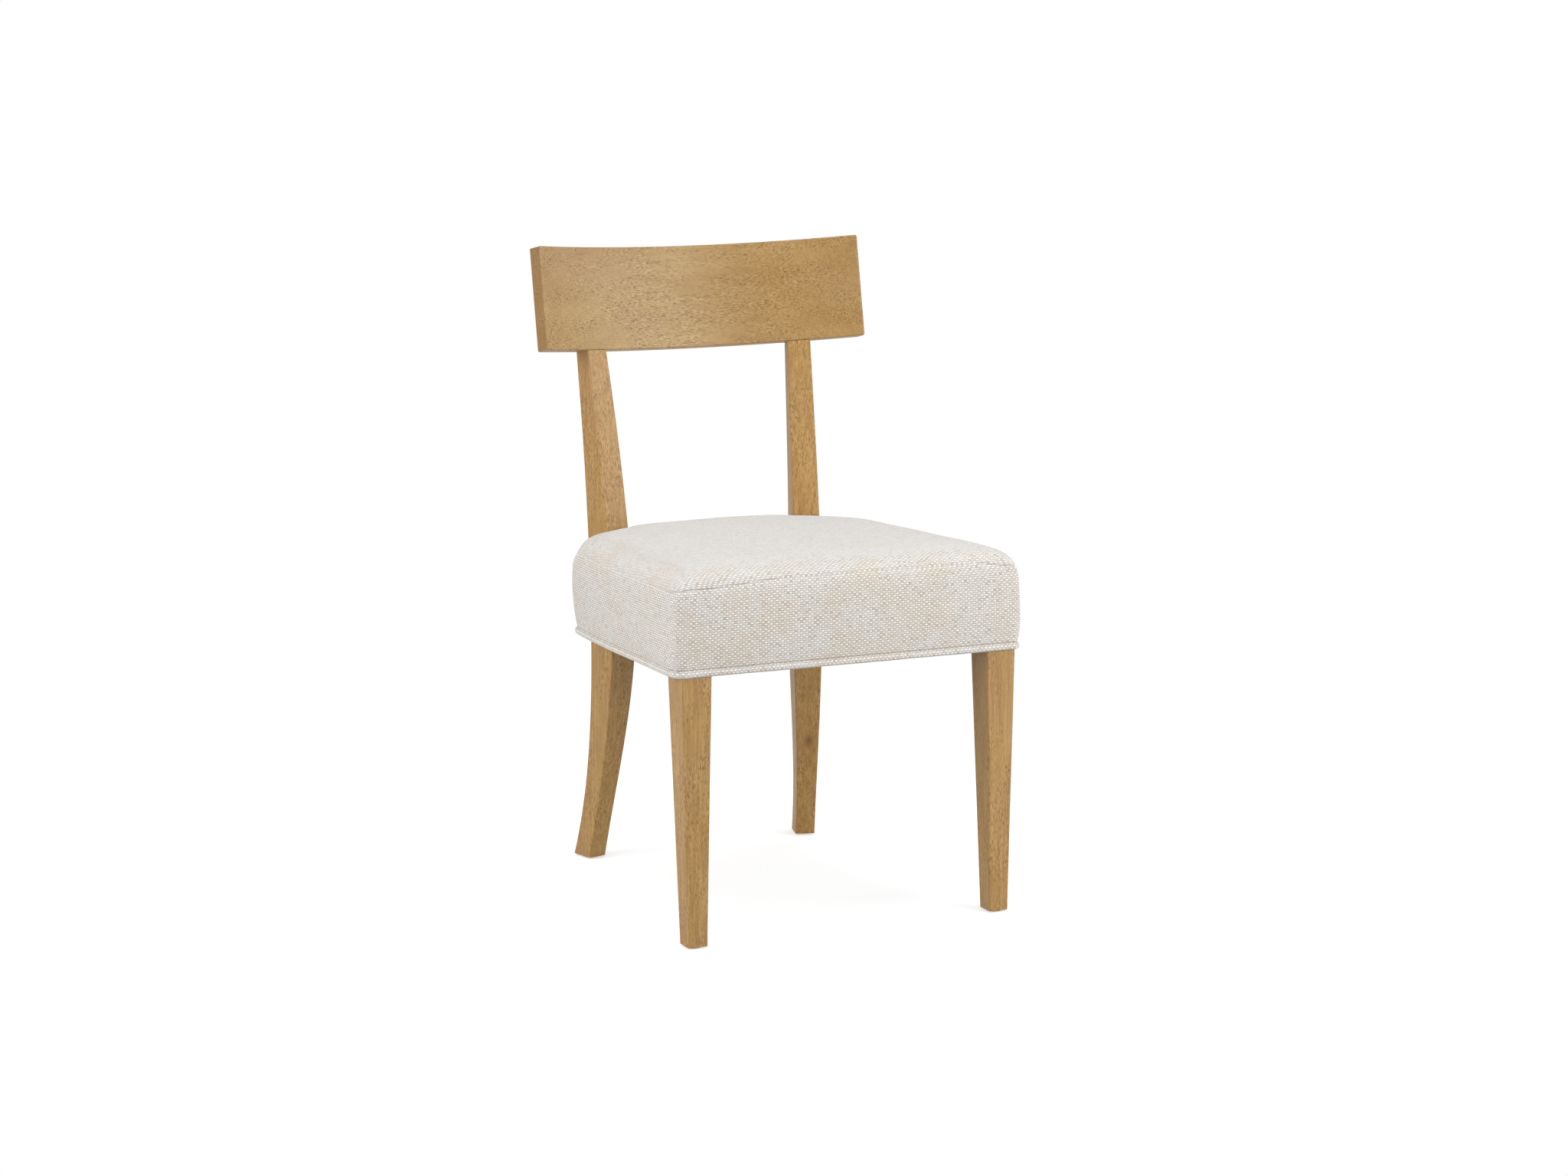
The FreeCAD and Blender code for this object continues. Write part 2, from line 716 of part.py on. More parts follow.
pair("front_leg", front_leg)
pair("rear_leg", rear_leg)
pair("side_seat_rail", side_rail)
pair("rear_corner_ear", ear)
pair("front_corner_brace", front_brace)
pair("rear_corner_brace", rear_brace)
nodes["crest_rail"] = crest
nodes["front_seat_rail"] = front_rail
nodes["rear_seat_rail"] = rear_rail
nodes["seat_deck"] = deck
nodes["seat_foam"] = foam
nodes["cover_top_panel"] = top_panel
nodes["cover_back_band"] = band_back
nodes["welt_back"] = welt_back
nodes["dust_cover"] = dust_cover
nodes["wadding_back"] = wadding_back
group("wadding_front", wadding_front)
group("cover_side_band", band_front)
group("welt_front", welt_front)
group("rail_dowels", both_sides(front_dowels + side_dowels + ear_dowels + rear_dowels))
group("brace_screws", both_sides(front_screws + rear_screws))
group("ear_screws", both_sides(ear_screws))
group("deck_screws", deck_screws)
group("dust_cover_staples", staples)
group("floor_glides", glides)
group("glide_nails", nails)

# The origin is on the floor, under the middle of the chair's overall box
front_most = seat_front_y + welt_inset - welt_radius
lean = math.radians(crest_lean)
crest_back_v = crest_sag + crest_thickness - crest_edge_radius
crest_back_w = crest_height / 2 - crest_edge_radius
rear_most = crest_end_y + crest_back_v * math.cos(lean) + crest_back_w * math.sin(lean)
rear_most += crest_edge_radius
to_origin = Vec(0, -(front_most + rear_most) / 2, glide_height)

os.makedirs("parts", exist_ok=True)
for name, shape in nodes.items():
    placed = shape.copy()
    placed.translate(to_origin)
    placed.exportStep("parts/" + name + ".step")
    print(name, len(placed.Solids), placed.isValid(), round(placed.Volume))
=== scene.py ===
"""The looks of a klismos dining chair, around its packed construction. Metres, in the frame of the model."""

import math

import bmesh
import bpy
import numpy as np
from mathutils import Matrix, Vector


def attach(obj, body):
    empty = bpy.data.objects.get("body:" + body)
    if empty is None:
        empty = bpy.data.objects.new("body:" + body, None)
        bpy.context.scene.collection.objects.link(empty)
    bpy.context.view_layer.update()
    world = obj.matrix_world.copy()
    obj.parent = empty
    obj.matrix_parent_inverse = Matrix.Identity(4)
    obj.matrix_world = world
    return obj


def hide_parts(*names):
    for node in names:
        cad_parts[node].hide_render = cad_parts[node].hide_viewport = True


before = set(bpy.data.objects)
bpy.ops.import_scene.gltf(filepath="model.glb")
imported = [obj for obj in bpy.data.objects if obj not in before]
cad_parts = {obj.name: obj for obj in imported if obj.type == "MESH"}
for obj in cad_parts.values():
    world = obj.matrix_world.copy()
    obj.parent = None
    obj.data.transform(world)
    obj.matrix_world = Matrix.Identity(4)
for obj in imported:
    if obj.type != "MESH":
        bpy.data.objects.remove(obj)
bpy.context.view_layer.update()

MM = 0.001

# Camera: the photograph's viewing angle, from the chair's front left and a little above the seat
picture_width_px = 2048
focal_length_px = 4691.7
sensor_width_mm = 36.0
camera_turn = math.radians(24.507)
camera_rise = math.radians(10.046)
camera_distance = 4.930
aim_point = Vector((0.0125, -0.0485, 0.4227))


def make_camera():
    """Place the camera at the photograph's distance and angle."""
    towards = Vector((-math.sin(camera_turn) * math.cos(camera_rise),
                      -math.cos(camera_turn) * math.cos(camera_rise),
                      math.sin(camera_rise)))
    data = bpy.data.cameras.new("camera")
    data.sensor_width = sensor_width_mm
    data.lens = focal_length_px * sensor_width_mm / picture_width_px
    camera = bpy.data.objects.new("camera", data)
    camera.location = aim_point + towards * camera_distance
    camera.rotation_euler = (-towards).to_track_quat("-Z", "Y").to_euler()
    bpy.context.scene.collection.objects.link(camera)
    bpy.context.scene.camera = camera


make_camera()


# Colour and node helpers

def linear(code):
    """An sRGB hex colour as linear red, green, blue and alpha."""
    def channel(pair):
        share = int(pair, 16) / 255
        return share / 12.92 if share <= 0.04045 else ((share + 0.055) / 1.055) ** 2.4
    return (channel(code[1:3]), channel(code[3:5]), channel(code[5:7]), 1.0)


def add(tree, kind, inputs=(), output=0, **settings):
    """Add a node with its settings, and its inputs as values or links. Gives back one of its outputs."""
    made = tree.nodes.new(kind)
    for name, value in settings.items():
        setattr(made, name, value)
    for name, value in inputs.items() if isinstance(inputs, dict) else enumerate(inputs):
        if isinstance(value, bpy.types.NodeSocket):
            tree.links.new(value, made.inputs[name])
        else:
            made.inputs[name].default_value = value
    return made.outputs[output] if made.outputs else None


def new_material(name):
    """A material with an empty tree, the tree, and places on the piece in metres."""
    material = bpy.data.materials.new(name)
    material.use_nodes = True
    tree = material.node_tree
    tree.nodes.clear()
    return material, tree, add(tree, "ShaderNodeTexCoord", output="Object")


def per_mm(*lengths_mm):
    """The scale at which one unit is the given length along each axis."""
    return tuple(1.0 / (length * MM) for length in lengths_mm)


def along_grain(grain_axis, along_mm, across_mm):
    """The scale for one length along the grain and another across it."""
    return per_mm(*[along_mm if axis == grain_axis else across_mm for axis in "xyz"])


# Wood: pale hardwood, planed and sanded, stained light honey under a satin lacquer

# Tones: base, light drift, warm drift, fibre, late wood, fleck, pore
honey = ["#aa7f42", "#b79050", "#b3875c", "#9c753b", "#8a622e", "#c9a66b", "#704d21"]
# The crest's tones are paler and less saturated than the legs': a painted reflection of the light on its
# satin lacquer
honey_paled_by_painted_sheen = ["#ab8853", "#b99a66", "#b4916f", "#9e7d48", "#8b6938", "#cbb182", "#715228"]
end_grain_tone = "#e6dac2"
knot_tone = "#64431f"

# Noise in the wood: length along and across the grain in mm, a step that sets it apart, detail, roughness
wood_noise = {
    "wander": (260.0, 60.0, 0.0, 2.0, 0.5),
    "ripple": (60.0, 14.0, 3.0, 2.0, 0.5),
    "drift": (170.0, 38.0, 7.0, 3.0, 0.5),
    "warmth": (120.0, 70.0, 11.0, 2.0, 0.5),
    "fibre": (42.0, 1.3, 5.0, 3.0, 0.6),
    "pore": (6.0, 1.5, 2.0, 1.0, 0.5),
    "pore_patch": (75.0, 26.0, 9.0, 2.0, 0.5),
    "streak": (64.0, 3.6, 13.0, 2.0, 0.5),
}
ring_wander_mm = 30.0
ring_ripple_mm = 3.0
ring_depth = 0.16
knot_squeeze = (1.0, 1.0, 0.6)
knot_reach_mm = 26.0
knot_ring_bulge_mm = 20.0
knot_core_mm = (11.0, 2.0)

# Painted reflection on the crest: share of the width from the left end, and the tint there. The middle, which
# the sheen of the light pales most, is left untinted, and the ends are warmer, the right end most
painted_sheen_tints = (
    (0.0, "#f9f6f0"), (0.15, "#f9f6f0"), (0.46, "#ffffff"), (0.72, "#f6eede"), (1.0, "#f6eede"))


def stained_hardwood(name, grain_axis, shift, pith, ring_mm=7.5, tones=honey, streak_depth=0.32, knot=None,
                     painted_sheen=False):
    """Honey-coloured wood: soft ring figure, short dark pores and a low sheen.

    pith is a point in millimetres, two axes of which place the centre of the rings."""
    material, tree, place = new_material(name)
    base, light, warm, straw, late_wood, fleck, pore = [linear(code) for code in tones]
    noise = {}
    for called, (along_mm, across_mm, step, detail, roughness) in wood_noise.items():
        spot = add(tree, "ShaderNodeMapping", {
            "Vector": place, "Location": tuple(s + step for s in shift),
            "Scale": along_grain(grain_axis, along_mm, across_mm)})
        noise[called] = add(tree, "ShaderNodeTexNoise", {
            "Vector": spot, "Scale": 1.0, "Detail": detail, "Roughness": roughness})

    # Growth rings, 7 to 9 mm apart, that wander along the board
    places = add(tree, "ShaderNodeSeparateXYZ", [place]).node.outputs
    squares = []
    for axis in range(3):
        if "xyz"[axis] != grain_axis:
            offset = add(tree, "ShaderNodeMath", [places[axis], pith[axis] * MM], operation="SUBTRACT")
            squares.append(add(tree, "ShaderNodeMath", [offset, offset], operation="MULTIPLY"))
    summed = add(tree, "ShaderNodeMath", squares, operation="ADD")
    wandered = add(tree, "ShaderNodeMath", [summed], operation="SQRT")
    for called, reach_mm in (("wander", ring_wander_mm), ("ripple", ring_ripple_mm)):
        wandered = add(tree, "ShaderNodeMath", [noise[called], reach_mm * MM, wandered],
                       operation="MULTIPLY_ADD")
    if knot:
        from_knot = add(tree, "ShaderNodeVectorMath", [place, tuple(k * MM for k in knot)],
                        operation="SUBTRACT")
        squeezed = add(tree, "ShaderNodeVectorMath", [from_knot, knot_squeeze], operation="MULTIPLY")
        away = add(tree, "ShaderNodeVectorMath", [squeezed], "Value", operation="LENGTH")
        near = add(tree, "ShaderNodeMapRange", [away, knot_reach_mm * MM, 0.0])
        bulge = add(tree, "ShaderNodeMath", [near, 2.0], operation="POWER")
        wandered = add(tree, "ShaderNodeMath", [bulge, knot_ring_bulge_mm * MM, wandered],
                       operation="MULTIPLY_ADD")
    turns = add(tree, "ShaderNodeMath", [wandered, ring_mm * MM], operation="DIVIDE")
    ring_share = add(tree, "ShaderNodeMath", [turns], operation="FRACT")
    late = add(tree, "ShaderNodeMath", [ring_share, 3.0], operation="POWER")

    # Pores as short dashes, drawn wide enough to show, with pale flecks between them
    pore_share = add(tree, "ShaderNodeMapRange", [noise["pore_patch"], 0.36, 0.58, 0.25, 1.0])
    dashes = []
    for low, high in ((0.54, 0.70), (0.44, 0.30)):
        dash = add(tree, "ShaderNodeMapRange", [noise["pore"], low, high])
        dashes.append(add(tree, "ShaderNodeMath", [dash, pore_share], operation="MULTIPLY"))
    pores, flecks = dashes

    # Colour in layers, each over the last by its own share
    layers = [
        (add(tree, "ShaderNodeMapRange", [noise["drift"], 0.34, 0.66]), light),
        (add(tree, "ShaderNodeMapRange", [noise["warmth"], 0.48, 0.72, 0.0, 0.5]), warm),
        (add(tree, "ShaderNodeMapRange", [noise["fibre"], 0.35, 0.7, 0.0, 0.55]), straw),
        (add(tree, "ShaderNodeMapRange", [noise["streak"], 0.50, 0.68, 0.0, streak_depth]), late_wood),
        (add(tree, "ShaderNodeMapRange", [noise["streak"], 0.50, 0.32, 0.0, streak_depth]), fleck),
        (add(tree, "ShaderNodeMath", [late, ring_depth], operation="MULTIPLY"), late_wood),
        (add(tree, "ShaderNodeMath", [flecks, 0.55], operation="MULTIPLY"), fleck),
        (add(tree, "ShaderNodeMath", [pores, 0.80], operation="MULTIPLY"), pore)]
    if knot:
        core = add(tree, "ShaderNodeMapRange", [away, knot_core_mm[0] * MM, knot_core_mm[1] * MM])
        rounded = add(tree, "ShaderNodeMath", [core, 1.5], operation="POWER")
        layers.append((add(tree, "ShaderNodeMath", [rounded, 0.7], operation="MULTIPLY"), linear(knot_tone)))
    colour = base
    for share, tone in layers:
        colour = add(tree, "ShaderNodeMix", {0: share, 6: colour, 7: tone}, 2, data_type="RGBA")

    # End grain drinks more stain, and the crest's painted reflection is palest in the middle and gives way to
    # warmer wood towards its right end
    facing = add(tree, "ShaderNodeTexCoord", output="Normal")
    facing = add(tree, "ShaderNodeSeparateXYZ", [facing], "xyz".index(grain_axis))
    facing = add(tree, "ShaderNodeMath", [facing], operation="ABSOLUTE")
    tints = [(add(tree, "ShaderNodeMapRange", [facing, 0.62, 0.80]), linear(end_grain_tone))]
    # Painted reflection: tints across the crest's width, untinted and palest in the middle
    if painted_sheen:
        across = add(tree, "ShaderNodeMapRange", [places[0], -250.0 * MM, 250.0 * MM])
        tint = add(tree, "ShaderNodeValToRGB", [across])
        stops = tint.node.color_ramp.elements
        for share, code in painted_sheen_tints[1:-1]:
            stops.new(share)
        for stop, (share, code) in zip(stops, painted_sheen_tints):
            stop.color = linear(code)
        tints.append((1.0, tint))
    for share, tint in tints:
        colour = add(tree, "ShaderNodeMix", {0: share, 6: colour, 7: tint}, 2, data_type="RGBA",
                     blend_type="MULTIPLY")

    raised = add(tree, "ShaderNodeMath", [noise["fibre"], 0.35], operation="MULTIPLY")
    height = add(tree, "ShaderNodeMath", [pores, -1.0, raised], operation="MULTIPLY_ADD")
    bump = add(tree, "ShaderNodeBump", {"Strength": 0.35, "Distance": 0.25 * MM, "Height": height})
    roughness = add(tree, "ShaderNodeMapRange", [noise["fibre"], 0.3, 0.75, 0.40, 0.54])
    shader = add(tree, "ShaderNodeBsdfPrincipled", {
        "Base Color": colour, "Roughness": roughness, "IOR": 1.5, "Normal": bump})
    add(tree, "ShaderNodeOutputMaterial", [shader])
    return material


def two_toned(name, tones, scale, detail, span, bump_strength, bump_mm, surface):
    """A fine grain of two near colours, for pieces that hardly show."""
    material, tree, place = new_material(name)
    spot = add(tree, "ShaderNodeMapping", {"Vector": place, "Scale": scale})
    grain = add(tree, "ShaderNodeTexNoise", {"Vector": spot, "Scale": 1.0, "Detail": detail})
    share = add(tree, "ShaderNodeMapRange", [grain, *span])
    colour = add(tree, "ShaderNodeMix", {0: share, 6: linear(tones[0]), 7: linear(tones[1])}, 2,
                 data_type="RGBA")
    bump = add(tree, "ShaderNodeBump", {"Strength": bump_strength, "Distance": bump_mm * MM, "Height": grain})
    shader = add(tree, "ShaderNodeBsdfPrincipled", {"Base Color": colour, "Normal": bump, **surface})
    add(tree, "ShaderNodeOutputMaterial", [shader])
    return material


def plain_wood(name, grain_axis, pale, dark, fibre_mm):
    """Unfinished wood inside the seat: matt, with plain fibre."""
    scale = along_grain(grain_axis, 30 * fibre_mm, fibre_mm)
    return two_toned(name, (pale, dark), scale, 3.0, (0.3, 0.7), 0.3, 0.2, {"Roughness": 0.7})


# Fabric: off-white and oatmeal plain weave of thick yarn

warp_spacing_mm = 3.8
weft_spacing_mm = 3.0
yarn_waver_mm = 1.3
waver_length_mm = 14.0
patch_length_mm = 55.0
slub_length = 0.16


def woven_fabric(name, turned=False):
    """Thick slubby yarns over and under each other: pale weft dots with a painted highlight on their crowns,
    and painted shade in the holes between four yarns.

    Its coordinates are the cloth's own, in metres, kept in the mesh as the map "cloth"."""
    material, tree, place = new_material(name)
    cloth = add(tree, "ShaderNodeUVMap", uv_map="cloth")
    spot = add(tree, "ShaderNodeMapping", {"Vector": place, "Scale": per_mm(*[waver_length_mm] * 3)})
    waver = add(tree, "ShaderNodeTexNoise", {"Vector": spot, "Scale": 1.0, "Detail": 2.0}, "Color")
    centred = add(tree, "ShaderNodeVectorMath", [waver, (0.5, 0.5, 0.5)], operation="SUBTRACT")
    pushed = add(tree, "ShaderNodeVectorMath", {0: centred, "Scale": yarn_waver_mm * MM}, operation="SCALE")
    moved = add(tree, "ShaderNodeVectorMath", [cloth, pushed], operation="ADD")
    parts = add(tree, "ShaderNodeSeparateXYZ", [moved]).node.outputs

    # Yarn counts across and along the cloth: whole numbers lie in the gaps between yarns
    spacings = (weft_spacing_mm, warp_spacing_mm) if turned else (warp_spacing_mm, weft_spacing_mm)
    counts = []
    waves = []
    rounds = []
    cells = []
    for part, spacing in zip(parts, spacings):
        count = add(tree, "ShaderNodeMath", [part, spacing * MM], operation="DIVIDE")
        angle = add(tree, "ShaderNodeMath", [count, math.pi], operation="MULTIPLY")
        wave = add(tree, "ShaderNodeMath", [angle], operation="SINE")
        counts.append(count)
        waves.append(wave)
        rounds.append(add(tree, "ShaderNodeMath", [wave], operation="ABSOLUTE"))
        cells.append(add(tree, "ShaderNodeMath", [count], operation="FLOOR"))
    crossing = add(tree, "ShaderNodeMath", waves, operation="MULTIPLY")
    warp_on_top = add(tree, "ShaderNodeMath", [crossing, 0.0], operation="GREATER_THAN")
    weft_on_top = add(tree, "ShaderNodeMath", [1.0, warp_on_top], operation="SUBTRACT")

    # Warp first, then weft: each yarn's round back, and its slow swells along its own length
    backs = []
    slubs = []
    for own, other, spread in ((0, 1, 7.31), (1, 0, 5.17)):
        bow = add(tree, "ShaderNodeMath", [rounds[other], 0.45, 0.55], operation="MULTIPLY_ADD")
        backs.append(add(tree, "ShaderNodeMath", [rounds[own], bow], operation="MULTIPLY"))
        yarn = add(tree, "ShaderNodeMath", [cells[own], spread], operation="MULTIPLY")
        run = add(tree, "ShaderNodeMath", [counts[other], slub_length], operation="MULTIPLY")
        spot = add(tree, "ShaderNodeCombineXYZ", [yarn, run])
        slubs.append(add(tree, "ShaderNodeTexNoise", {"Vector": spot, "Scale": 1.0, "Detail": 1.0}))
    height = add(tree, "ShaderNodeMix", {0: warp_on_top, 2: backs[1], 3: backs[0]}, data_type="FLOAT")
    slub = add(tree, "ShaderNodeMix", {0: warp_on_top, 2: slubs[1], 3: slubs[0]}, data_type="FLOAT")

    # One tone for each crossing, warm patches about 55 mm wide, pale weft dots that are a painted highlight
    # on the weft crowns, and painted shade in the gaps between yarns
    cell = add(tree, "ShaderNodeCombineXYZ", cells)
    each = add(tree, "ShaderNodeTexWhiteNoise", {"Vector": cell}, noise_dimensions="3D")
    spot = add(tree, "ShaderNodeMapping", {"Vector": place, "Scale": per_mm(*[patch_length_mm] * 3)})
    patches = add(tree, "ShaderNodeTexNoise", {"Vector": spot, "Scale": 1.0, "Detail": 3.0})
    # Painted highlight: pale dots on the crowns of the weft where it lies on top
    lengthened = add(tree, "ShaderNodeMath", [rounds[0]], operation="SQRT")
    dot = add(tree, "ShaderNodeMath", [lengthened, rounds[1]], operation="MULTIPLY")
    dot = add(tree, "ShaderNodeMapRange", [dot, 0.25, 0.85])
    dot = add(tree, "ShaderNodeMath", [dot, weft_on_top], operation="MULTIPLY")
    strength = add(tree, "ShaderNodeMapRange", [each, 0.0, 0.7, 0.35, 1.0])
    dot = add(tree, "ShaderNodeMath", [dot, strength], operation="MULTIPLY")
    # Painted shade: darker where the yarns part, at the holes between four yarns and along the gaps between
    # weft rows
    gaps = [add(tree, "ShaderNodeMapRange", [r, 0.62, 0.0]) for r in rounds]
    painted_pinhole_shade = add(tree, "ShaderNodeMath", gaps, operation="MULTIPLY")
    painted_row_shade = add(tree, "ShaderNodeMapRange", [rounds[1], 0.45, 0.0, 0.0, 0.66])

    # Painted light: the top of the seat, which faces the overhead light, is painted a little paler and less
    # warm than the sides
    facing = add(tree, "ShaderNodeTexCoord", output="Normal")
    up = add(tree, "ShaderNodeSeparateXYZ", [facing], 2)
    on_top = add(tree, "ShaderNodeMapRange", [up, 0.955, 0.995])
    warmth = add(tree, "ShaderNodeMapRange", [patches, 0.46, 0.68, 0.0, 0.50])
    kept = add(tree, "ShaderNodeMapRange", [on_top, 0.0, 1.0, 1.0, 0.3])

    colour = linear("#dcd8d1")
    for share, code in (
            (add(tree, "ShaderNodeMapRange", [slub, 0.32, 0.68]), "#cfc9bf"),
            (add(tree, "ShaderNodeMapRange", [each, 0.68, 1.0, 0.0, 0.7]), "#b3a797"),
            # the warm patches are kept off the top, as painted light
            (add(tree, "ShaderNodeMath", [warmth, kept], operation="MULTIPLY"), "#d0bea6"),
            # painted highlight on the weft crowns
            (add(tree, "ShaderNodeMath", [dot, 0.95], operation="MULTIPLY"), "#fcfbf9"),
            # painted shade in the gaps between yarns
            (add(tree, "ShaderNodeMath", [painted_pinhole_shade, painted_row_shade], operation="MAXIMUM"), "#857b6d"),
            # painted light: the top of the seat painted paler
            (add(tree, "ShaderNodeMath", [on_top, 0.15], operation="MULTIPLY"), "#f6f4f1")):
        colour = add(tree, "ShaderNodeMix", {0: share, 6: colour, 7: linear(code)}, 2, data_type="RGBA")

    bump = add(tree, "ShaderNodeBump", {"Strength": 0.5, "Distance": 0.6 * MM, "Height": height})
    shader = add(tree, "ShaderNodeBsdfPrincipled", {
        "Base Color": colour, "Roughness": 0.92, "Specular IOR Level": 0.25,
        "Sheen Weight": 0.15, "Sheen Roughness": 0.5, "Normal": bump})
    add(tree, "ShaderNodeOutputMaterial", [shader])
    return material


def nonwoven(name):
    """Black spun-bonded cloth, dimpled by its bonding roller every 2 mm."""
    material, tree, place = new_material(name)
    spot = add(tree, "ShaderNodeMapping", {"Vector": place, "Scale": per_mm(2.0, 2.0, 2.0)})
    dimples = add(tree, "ShaderNodeTexVoronoi", {"Vector": spot, "Scale": 1.0, "Randomness": 0.15},
                  feature="F1", distance="CHEBYCHEV")
    spot = add(tree, "ShaderNodeMapping", {"Vector": place, "Scale": per_mm(1.1, 1.1, 1.1)})
    fibres = add(tree, "ShaderNodeTexNoise", {"Vector": spot, "Scale": 1.0, "Detail": 3.0})
    share = add(tree, "ShaderNodeMapRange", [fibres, 0.3, 0.7])
    colour = add(tree, "ShaderNodeMix", {0: share, 6: linear("#1d1d1f"), 7: linear("#2c2c2e")}, 2,
                 data_type="RGBA")
    bump = add(tree, "ShaderNodeBump", {"Strength": 0.6, "Distance": 0.15 * MM, "Height": dimples})
    shader = add(tree, "ShaderNodeBsdfPrincipled", {"Base Color": colour, "Roughness": 0.85, "Normal": bump})
    add(tree, "ShaderNodeOutputMaterial", [shader])
    return material


# Seat outline and section, as the construction has them, in millimetres

floor_to_leg_foot = 2.5
shift_y = 0.52
seat_front_y = -292.0
seat_front_half_width = 245.0
seat_rear_half_width = 214.5
seat_rear_width_y = 150.0
seat_side_bow = 6.0
seat_rear_y = 215.0
seat_rear_radius = 740.0
front_corner_radius = 14.0
rear_corner_radius = 66.0
front_corner_growth_outside = 0.5
front_corner_growth_inside = 0.55
rear_corner_shrinks_until = 6.0
rear_corner_growth = 0.18
seat_bottom_height = 359.0
seat_bottom_fall = 0.045
seat_top_fall = 0.027
band_height = 121.0

# Points of the outline along each of its stretches, on one half
front_steps = 46
front_corner_steps = 9
side_steps = 72
rear_corner_steps = 18
rear_steps = 28


def circle_through(a, b, c):
    """Centre and radius of the circle through three points in plan."""
    rows = np.array([b - a, c - a]) * 2
    sums = np.array([b @ b - a @ a, c @ c - a @ a])
    centre = np.linalg.solve(rows, sums)
    return centre, np.linalg.norm(a - centre)


def side_circle(inset):
    """Centre and radius of the circle that a side follows, drawn in by inset."""
    front = np.array([seat_front_half_width, seat_front_y])
    rear = np.array([seat_rear_half_width, seat_rear_width_y])
    along = (rear - front) / np.linalg.norm(rear - front)
    middle = (front + rear) / 2 + np.array([along[1], -along[0]]) * seat_side_bow
    centre, radius = circle_through(front, middle, rear)
    return centre, radius - inset


def arc_points(centre, radius, start, end, steps):
    """Points on a circle from one of its points towards another, without the last."""
    first = math.atan2(*(start - centre)[::-1])
    last = math.atan2(*(end - centre)[::-1])
    angles = first + (last - first) * np.arange(steps) / steps
    return [centre + radius * np.array([math.cos(a), math.sin(a)]) for a in angles]


def beyond(centre, point, radius):
    """The point at a distance from a centre, in the direction of another point."""
    return centre + (point - centre) / np.linalg.norm(point - centre) * radius


def ring(inset):
    """The seat's outline drawn in by inset, from the middle of the front, anticlockwise from above."""
    front_round = front_corner_radius + inset * (
        front_corner_growth_outside if inset < 0 else front_corner_growth_inside)
    rear_round = rear_corner_radius - min(inset, rear_corner_shrinks_until)
    rear_round += rear_corner_growth * max(inset - rear_corner_shrinks_until, 0.0)
    front_y = seat_front_y + inset
    side_centre, side_radius = side_circle(inset)
    back_centre = np.array([0.0, seat_rear_y - seat_rear_radius])
    back_radius = seat_rear_radius - inset
    back_middle = np.array([0.0, back_centre[1] + back_radius])

    # The front corner's centre lies its own radius inside the front and the side
    y = front_y + front_round
    x = side_centre[0] + math.sqrt((side_radius - front_round) ** 2 - (y - side_centre[1]) ** 2)
    front_corner = np.array([x, y])

    # The rear corner's centre lies its own radius inside the side and the back
    from_side = side_radius - rear_round
    from_back = back_radius - rear_round
    apart = back_centre - side_centre
    gap = np.linalg.norm(apart)
    along = (from_side ** 2 - from_back ** 2 + gap ** 2) / (2 * gap)
    across = math.sqrt(from_side ** 2 - along ** 2)
    unit = apart / gap
    normal = np.array([-unit[1], unit[0]])
    choices = [side_centre + unit * along + normal * turn * across for turn in (1, -1)]
    rear_corner = max(choices, key=sum)

    on_front = np.array([x, front_y])
    on_side_front = beyond(side_centre, front_corner, side_radius)
    on_side_rear = beyond(side_centre, rear_corner, side_radius)
    on_back = beyond(back_centre, rear_corner, back_radius)
    half = [np.array([x * i / front_steps, front_y]) for i in range(front_steps)]
    half += arc_points(front_corner, front_round, on_front, on_side_front, front_corner_steps)
    half += arc_points(side_centre, side_radius, on_side_front, on_side_rear, side_steps)
    half += arc_points(rear_corner, rear_round, on_side_rear, on_back, rear_corner_steps)
    half += arc_points(back_centre, back_radius, on_back, back_middle, rear_steps)
    half.append(back_middle)
    return np.array(half + [point * [-1, 1] for point in half[-2:0:-1]])


# A column is one point of the outline with everything above it. These are where corners and sides start
columns = len(ring(0.0))
half_columns = columns // 2
corner_start = front_steps
side_start = corner_start + front_corner_steps
side_end = side_start + side_steps
rear_corner_middle = side_end + rear_corner_steps // 2


def lift(y, level):
    """Height above the floor of a level above the seat's underside; the seat falls towards the rear."""
    share = np.clip(level / band_height, 0.0, 1.0)
    fall = seat_bottom_fall + (seat_top_fall - seat_bottom_fall) * share
    return floor_to_leg_foot + seat_bottom_height + level - fall * (y - seat_front_y)


def smooth_curve(stations):
    """A smooth line through the stations: closely spaced points, and their distance along it."""
    stations = np.array(stations, float)
    padded = np.vstack([2 * stations[0] - stations[1], stations, 2 * stations[-1] - stations[-2]])
    fine = []
    for i in range(1, len(padded) - 2):
        p0, p1, p2, p3 = padded[i - 1:i + 3]
        for t in np.arange(0, 1, 0.05):
            fine.append(0.5 * (2 * p1 + (p2 - p0) * t + (2 * p0 - 5 * p1 + 4 * p2 - p3) * t ** 2
                               + (3 * p1 - p0 - 3 * p2 + p3) * t ** 3))
    fine.append(padded[-2])
    fine = np.array(fine)
    reach = np.concatenate([[0], np.cumsum(np.linalg.norm(np.diff(fine, axis=0), axis=1))])
    return reach, fine


# Section of the cover from behind the welt to well inside the top: how far drawn in, how high
section = [(1.8, 8.2), (0.4, 11.5), (-1.0, 19.0), (-3.0, 36.0), (-4.1, 58.0), (-3.9, 80.0), (-3.0, 98.0),
           (-1.4, 109.0), (1.6, 118.4), (5.6, 124.8), (11.5, 130.2), (20.0, 134.5), (33.0, 138.2),
           (60.0, 142.3)]
crown_top = 145.6

